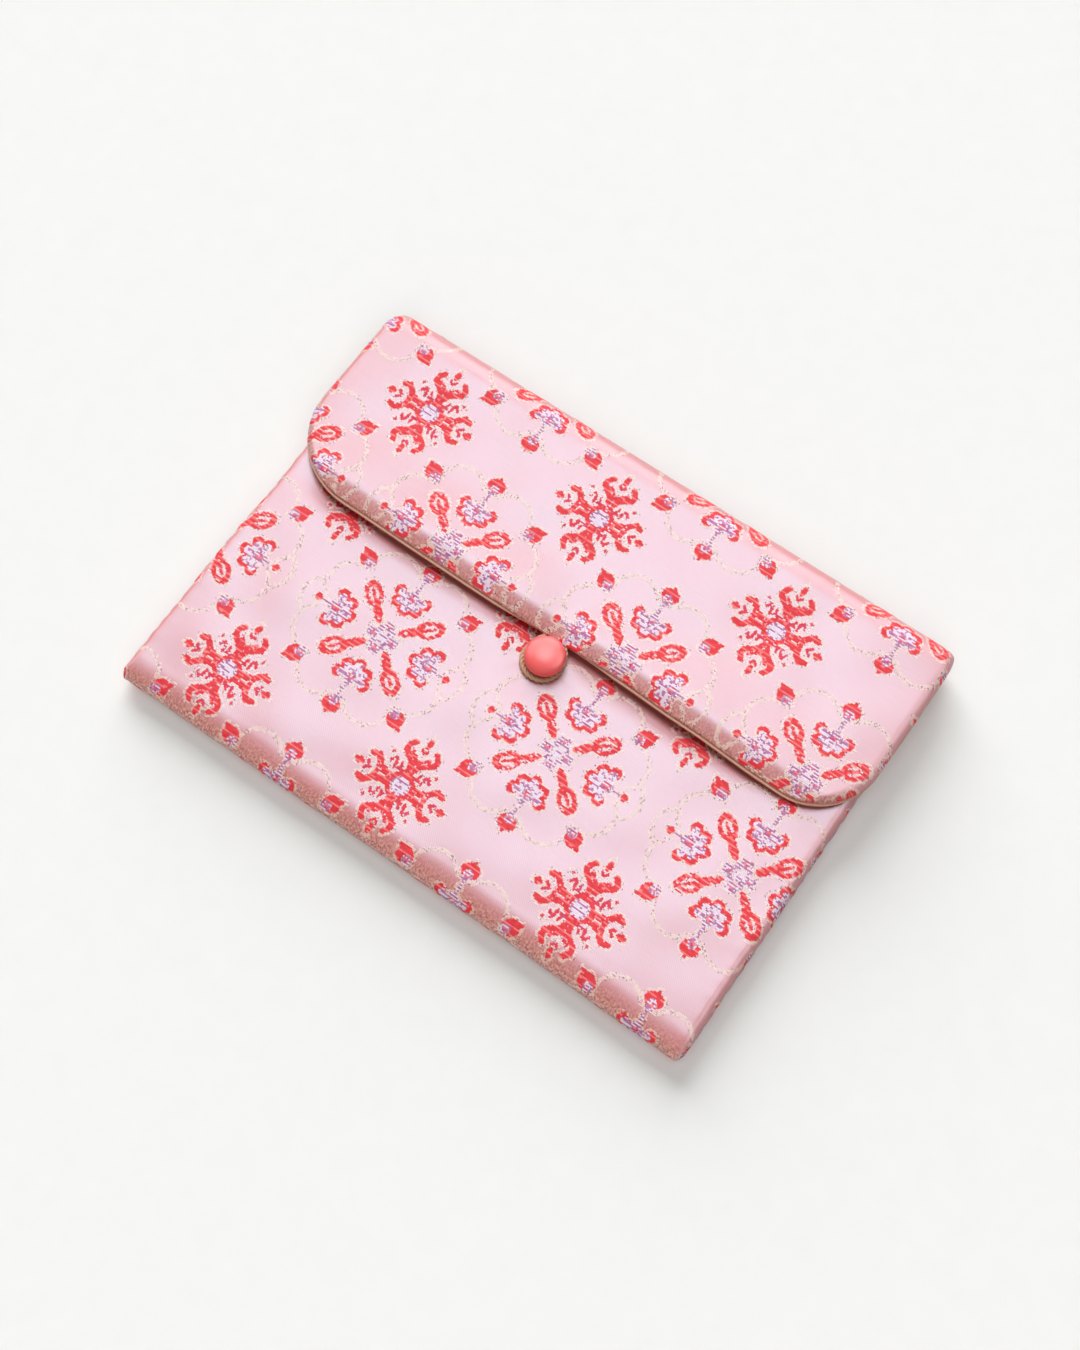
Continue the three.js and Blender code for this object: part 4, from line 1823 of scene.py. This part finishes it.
    def _rows(self, u: Array, v: Array) -> Array:
        """Rows of places on the outer face.

        Args:
            u: Places across the strip.
            v: Places along the strip.

        Returns:
            The rows, below 0 for places under its lower edge.
        """
        low = self.edge_y(u)
        share = (v - low) / (self.fold_y - low)
        on_run = np.where(share < 0.0, -1.0, count_along(share, self.runs))
        on_fold = self.run_cells + count_along(v, np.concatenate(([self.fold_y], self.fold_v)))
        return np.where(v > self.fold_y, on_fold, on_run)

    def _edges(self, rows: Array) -> tuple[Array, Array]:
        """The left and right edge of the outer face.

        Args:
            rows: Rows of the face.

        Returns:
            How far across both edges lie at the rows.
        """
        numbers = np.arange(len(self.turns))
        left, right = (np.interp(rows, numbers, self.grid.points[:, side, 0]) for side in (0, -1))
        return left, right

    def trimmed(self, floats: Floats) -> Floats:
        """Keeps the floats that lie on the cloth.

        Args:
            floats: Floats woven over its limits.

        Returns:
            Those on the cloth, cut off at its edges.
        """
        rows = self._rows((floats.start + floats.end) / 2, floats.line)
        left, right = self._edges(rows)
        floats.start = np.maximum(floats.start, left)
        floats.end = np.minimum(floats.end, right)
        return floats.pick((floats.end - floats.start > self.shortest_float) & (rows > self.lowest_row))

    def locate(self, u: Array, v: Array) -> tuple[Array, Array]:
        """Finds places on the outer face.

        Args:
            u: Places across the strip.
            v: Places along the strip.

        Returns:
            Their rows and columns.
        """
        rows = self._rows(u, v)
        left, right = self._edges(rows)
        return rows, count_along((u - left) / (right - left), self.shares)

    def bake_place(self, u: Array, v: Array) -> Array:
        """Lays the brocade flat on a unit square.

        Args:
            u: Places across the strip.
            v: Places along the strip.

        Returns:
            The places on the bake map.
        """
        low = self.lowest - self.bake_room[0]
        high = self.fold_v[-1] + self.bake_room[1]
        return bake_square((u + self.half_width) / (2 * self.half_width), (v - low) / (high - low))

    def _sewn(self, lower: Array, upper: Array) -> MeshMaker:
        """A layer of cloth, closed all round its edge.

        Args:
            lower: The points of its lower face.
            upper: Those of its upper face.

        Returns:
            The layer, ready to become a piece.
        """
        rows = np.concatenate((mix(self.edge_y(0.0), self.fold_y, self.runs), self.fold_v))
        rows = np.concatenate((rows, rows[-1] + 1.0 + np.arange(self.back_cells)))
        weave = pairs(upper[..., 0], rows[:, None])
        up = mix(*self.face_up, (rows - rows[0]) / (rows[-1] - rows[0]))
        flat = pairs(mix(*self.face_over, self.shares)[None, :], up[:, None])
        maker = MeshMaker()
        top = maker.put(upper, weave, flat)
        under = maker.put(lower, weave, flat + self.under_face)
        maker.grid(top)
        maker.grid(under, turned=True)
        edges = ((np.s_[0, :], False), (np.s_[-1, :], True), (np.s_[:, 0], True), (np.s_[:, -1], False))
        for edge, turned in edges:
            maker.grid(np.stack((under[edge], top[edge])), turned=turned)
        return maker

    def build(self, material: Material) -> Piece:
        """Builds the brocade of the flap.

        Args:
            material: The satin.

        Returns:
            The piece.
        """
        under = self._face(self.brocade_layer, lambda away: np.full(away.shape, self.lining + GAP))
        piece = self._sewn(under, self.grid.points).piece("flap_cloth", material, Slot.BROCADE)
        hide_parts("flap")
        return piece

    def build_lining(self, material: Material) -> Piece:
        """Builds the plain cloth under the flap.

        Args:
            material: The lining's cloth.

        Returns:
            The piece.
        """
        under = self._face(self.lining_layer, np.zeros_like)
        over = self._face(self.lining_layer, lambda away: np.full(away.shape, self.lining))
        piece = self._sewn(under, over).piece("lining_cloth", material, Slot.LINING)
        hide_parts("flap_lining")
        return piece

    def flat_size(self) -> tuple[float, float]:
        """The sides of the flap's cut, in metres."""
        return 2 * self.half_width * MM, float(self.fold_v[-1] - self.edge_y(0.0)) * MM

    def flat_area(self) -> float:
        """Measures the flap's cut with its round corners.

        Returns:
            The area in square metres.
        """
        width, length = self.flat_size()
        lost = (1.0 - math.pi / 4) * sum(corner.across * corner.up for corner in (self.left, self.right))
        return width * length - lost * MM * MM


@dataclass
class Button:
    """The domed button with its shank, turned about an upright axis."""

    x: float
    y: float
    base_z: float
    cap_radius: float
    lip_radius: float = 5.7
    lip_z: float = 0.8
    shank_radius: float = 3.6
    shank_height: float = 3.0
    wall_z: float = 2.9
    shoulder_radius: float = 4.7
    shoulder_z: float = 3.55
    crown_radius: float = 2.9
    cap_height: float = 4.3
    curve_steps: int = 14
    sides: int = 80
    bake_margin: float = 0.01

    @classmethod
    def from_frame(cls, pocket: Pocket) -> Button:
        """The button where its CAD node stands.

        Args:
            pocket: The pocket that it is sewn to.

        Returns:
            The button.
        """
        low, high = corners("button")
        x, y = middle_of("button")[:2]
        return cls(x, y, float(pocket.front_face(x, y)), (high[0] - low[0]) / 2)

    def _bend(self, start: Point, pull: Point, end: Point) -> Array:
        """A curve between two points.

        Args:
            start: Where it starts.
            pull: The point that draws it aside.
            end: Where it ends.

        Returns:
            Points along the curve.
        """
        share = np.linspace(0.0, 1.0, self.curve_steps + 1)[1:, None]
        first = mix(np.array(start), np.array(pull), share)
        return mix(first, mix(np.array(pull), np.array(end), share), share)

    def profile(self) -> Array:
        """The outline from the foot of the shank to the top.

        Returns:
            Radius and height of its points.
        """
        foot = self.shank_height
        top = foot + self.cap_height
        lip = (self.cap_radius, foot + self.lip_z)
        shoulder = (self.shoulder_radius, foot + self.shoulder_z)
        straight = [(0.0, GAP), (self.shank_radius, GAP), (self.shank_radius, foot), (self.lip_radius, foot)]
        rim = self._bend((self.lip_radius, foot), (self.cap_radius, foot), lip)
        wall = self._bend(lip, (self.cap_radius, foot + self.wall_z), shoulder)
        crown = self._bend(shoulder, (self.crown_radius, top), (0.0, top))
        return np.concatenate((np.array(straight), rim, wall, crown))

    def build(self, material: Material) -> Piece:
        """Builds the button.

        Args:
            material: The coral.

        Returns:
            The piece.
        """
        outline = self.profile()
        turn = np.linspace(0.0, math.tau, self.sides + 1)[None, :]
        radius = outline[:, :1]
        x = self.x + radius * np.cos(turn)
        y = self.y + radius * np.sin(turn)
        z = np.broadcast_to(self.base_z + outline[:, 1:], x.shape)
        run = run_along(outline)[:, None]
        weave = pairs(turn * self.cap_radius, run)
        bake = held_in(pairs(turn / math.tau, run / run.max()), self.bake_margin)
        maker = MeshMaker()
        maker.turned_round(np.stack((x, y, z), axis=-1), weave, bake)
        piece = maker.piece("coral_button", material, Slot.CORAL)
        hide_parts("button")
        return piece


@dataclass
class ButtonLoop:
    """The cord that leaves the flap's edge, goes round the button's shank and comes back.

    Attributes:
        end_half_span: Half the way between the two ends.
        climb_share: The share of the cord that climbs to the flap at each end.
        twist: The length in which a ply goes once round.
    """

    flap: Flap
    cord_radius: float = 0.85
    ring_radius: float = 6.1
    end_half_span: float = 3.3
    climb_share: float = 0.16
    steps: int = 220
    plies: int = 3
    ply_radius: float = 0.46
    twist: float = 4.5
    sides: int = 12
    bake_margin: float = 0.02

    def line(self) -> Array:
        """The middle line of the cord.

        Returns:
            Its points.
        """
        middle_x = self.flap.loop_x
        middle_y = corners("button_loop")[0][1] + self.ring_radius + self.cord_radius
        edge_y = self.flap.edge_y(middle_x) - GAP
        edge_z = self.flap.underside(middle_x, edge_y) - self.flap.edge_curl + self.flap.lining + GAP / 2
        low_z = self.flap.pocket.front_face(middle_x, middle_y) + GAP + self.cord_radius
        rise = edge_y - middle_y - math.sqrt(self.ring_radius**2 - self.end_half_span**2)
        start = math.asin(self.end_half_span / self.ring_radius)
        share = np.linspace(0.0, 1.0, self.steps + 1)
        turn = start + share * 2.0 * (math.pi - start)
        near_end = 1.0 - ease(np.minimum(share, 1.0 - share) / self.climb_share)
        x = middle_x - self.ring_radius * np.sin(turn)
        y = middle_y + self.ring_radius * np.cos(turn) + rise * near_end
        return np.stack((x, y, mix(low_z, edge_z, near_end)), axis=-1)

    def build(self, material: Material) -> Piece:
        """Builds the plies of the cord, twisted round each other, with closed ends.

        Args:
            material: The cord's fibre.

        Returns:
            The piece.
        """
        line = self.line()
        ahead = unit(np.gradient(line, axis=0))
        over = unit(np.cross(np.array((0.0, 0.0, 1.0)), ahead))
        up = np.cross(ahead, over)
        run = run_along(line)
        length = np.concatenate((run[:1], run, run[-1:]))[:, None]
        round_ply = np.linspace(0.0, math.tau, self.sides + 1)[None, :]
        ring = np.cos(round_ply)[..., None] * over[:, None, :] + np.sin(round_ply)[..., None] * up[:, None, :]
        offset = self.cord_radius - self.ply_radius
        maker = MeshMaker()
        for ply in range(self.plies):
            wind = math.tau * (run / self.twist + ply / self.plies)[:, None]
            middle = (line + offset * (np.cos(wind) * over + np.sin(wind) * up))[:, None, :]
            tube = middle + self.ply_radius * ring
            first, last = (np.broadcast_to(end, tube[:1].shape) for end in (middle[:1], middle[-1:]))
            tube = np.concatenate((first, tube, last))
            weave = pairs(length, round_ply * self.ply_radius)
            lane = (ply + held_in(round_ply / math.tau, self.bake_margin)) / self.plies
            maker.turned_round(tube, weave, pairs(length / length.max(), lane))
        piece = maker.piece("cord_loop", material, Slot.CORD)
        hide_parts("button_loop")
        return piece


class Lit(Enum):
    """What a light falls on."""

    ALL = "all"
    POUCH = "pouch"
    SATIN = "the shine of the satin"
    MATT = "all, without shine"
    FLOOR = "floor"


@dataclass(frozen=True)
class SoftLight:
    """A far soft light: where it stands, how wide it looks, its strength, what it falls on and its colour."""

    name: str
    heading: float
    height: float
    width: float
    strength: float
    lit: Lit
    colour: tuple[float, float, float] = (1.0, 1.0, 1.0)

    def build(self, floor: Piece) -> None:
        """Hangs the light over the floor.

        Args:
            floor: The floor.
        """
        heading = math.radians(self.heading)
        height = math.radians(self.height)
        level = math.cos(height)
        way = Vector((math.cos(heading) * level, math.sin(heading) * level, math.sin(height)))
        data = bpy.data.lights.new(self.name, "SUN")
        data.energy = self.strength
        data.angle = math.radians(self.width)
        data.color = self.colour
        light = placed(self.name, data)
        light.rotation_euler = way.to_track_quat("Z", "Y").to_euler()
        light.visible_diffuse = self.lit != Lit.SATIN
        light.visible_glossy = self.lit != Lit.MATT
        if self.lit not in (Lit.ALL, Lit.MATT):
            group = bpy.data.collections.new(f"{self.name}_lit")
            group.objects.link(floor)
            state = "INCLUDE" if self.lit == Lit.FLOOR else "EXCLUDE"
            group.collection_objects[0].light_linking.link_state = state
            light.light_linking.receiver_collection = group


@dataclass
class Studio:
    """The floor, the lights and the camera."""

    target: tuple[float, float, float] = (4.01, -1.76, 6.0)
    eye: tuple[float, float, float] = (128.005, -178.735, 563.483)
    lens: float = 54.19
    sensor: float = 36.0
    floor_half: float = 1500.0
    floor_drop: float = 0.02
    sky: float = 0.2
    sky_colour: Colour = (1.05, 0.99, 0.95, 1.0)
    lights: tuple[SoftLight, ...] = (
        SoftLight("key", 126.0, 71.0, 32.0, 2.2, Lit.POUCH, (0.97, 1.0, 1.03)),
        SoftLight("top", 105.0, 28.0, 44.0, 2.2, Lit.SATIN),
        SoftLight("flap_right", 82.0, 56.0, 30.0, 0.4, Lit.SATIN),
        SoftLight("right", 28.0, 40.0, 60.0, 2.6, Lit.SATIN),
        SoftLight("left", 160.0, 35.0, 50.0, 2.0, Lit.SATIN),
        SoftLight("side", 130.0, 20.0, 46.0, 1.8, Lit.MATT),
        SoftLight("fill", -70.0, 10.0, 50.0, 0.55, Lit.ALL, (1.0, 0.92, 0.8)),
        SoftLight("floor_side", 130.0, 12.0, 62.0, 5.8, Lit.FLOOR),
        SoftLight("floor_front", -55.0, 65.0, 70.0, 1.6, Lit.FLOOR),
    )

    def _camera(self) -> None:
        """The camera, where the photograph was taken from."""
        data = bpy.data.cameras.new("camera")
        data.lens = self.lens
        data.sensor_width = self.sensor
        camera = placed("camera", data)
        camera.location = Vector(self.eye) * MM
        look = Vector(self.target) - Vector(self.eye)
        camera.rotation_euler = look.to_track_quat("-Z", "Y").to_euler()
        bpy.context.scene.camera = camera

    def _sky(self) -> None:
        """An even pale light from all round."""
        world = bpy.data.worlds.new("sky")
        world.use_nodes = True
        background = world.node_tree.nodes["Background"]
        background.inputs["Color"].default_value = self.sky_colour
        background.inputs["Strength"].default_value = self.sky
        bpy.context.scene.world = world

    def _floor(self) -> Piece:
        """The board that the pouch lies on.

        Returns:
            The floor.
        """
        half = self.floor_half * MM
        level = -self.floor_drop * MM
        mesh = bpy.data.meshes.new("floor")
        rim = [(-half, -half, level), (half, -half, level), (half, half, level), (-half, half, level)]
        mesh.from_pydata(rim, [], [(0, 1, 2, 3)])
        mesh.materials.append(FloorFinish().material())
        floor = placed("floor", mesh)
        return floor

    def build(self) -> None:
        """Sets up the whole studio."""
        bpy.context.scene.view_settings.view_transform = "Standard"
        floor = self._floor()
        self._sky()
        for light in self.lights:
            light.build(floor)
        self._camera()


def main() -> None:
    """Builds the pouch piece by piece, reports each piece, and sets up the studio round it."""
    logging.basicConfig(level=logging.INFO, format="%(message)s")
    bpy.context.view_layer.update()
    satin = SatinFinish().material()
    weaver = Weaver()

    pocket = Pocket.from_frame()
    pocket_piece = pocket.build(satin)
    pocket_floats = weaver.weave(pocket)
    pocket.flat_size()

    flap = Flap.from_frame(pocket)
    flap_piece = flap.build(satin)
    lining_piece = flap.build_lining(LiningFinish().material())
    flap_floats = weaver.weave(flap)
    cut = {"flat": flap.flat_size(), "area": flap.flat_area(), "held": "folded", "rests_on": [pocket_piece]}

    button_piece = Button.from_frame(pocket).build(CoralFinish().material())
    loop_piece = ButtonLoop(flap).build(CordFinish().material())

    cloths = (pocket_piece, *pocket_floats, flap_piece, *flap_floats, lining_piece)
    for piece in (*cloths, button_piece, loop_piece):
        mesh = piece.data
        LOG.info("%s: %d points, %d faces", piece.name, len(mesh.vertices), len(mesh.polygons))

    Studio().build()


if __name__ == "__main__":
    main()
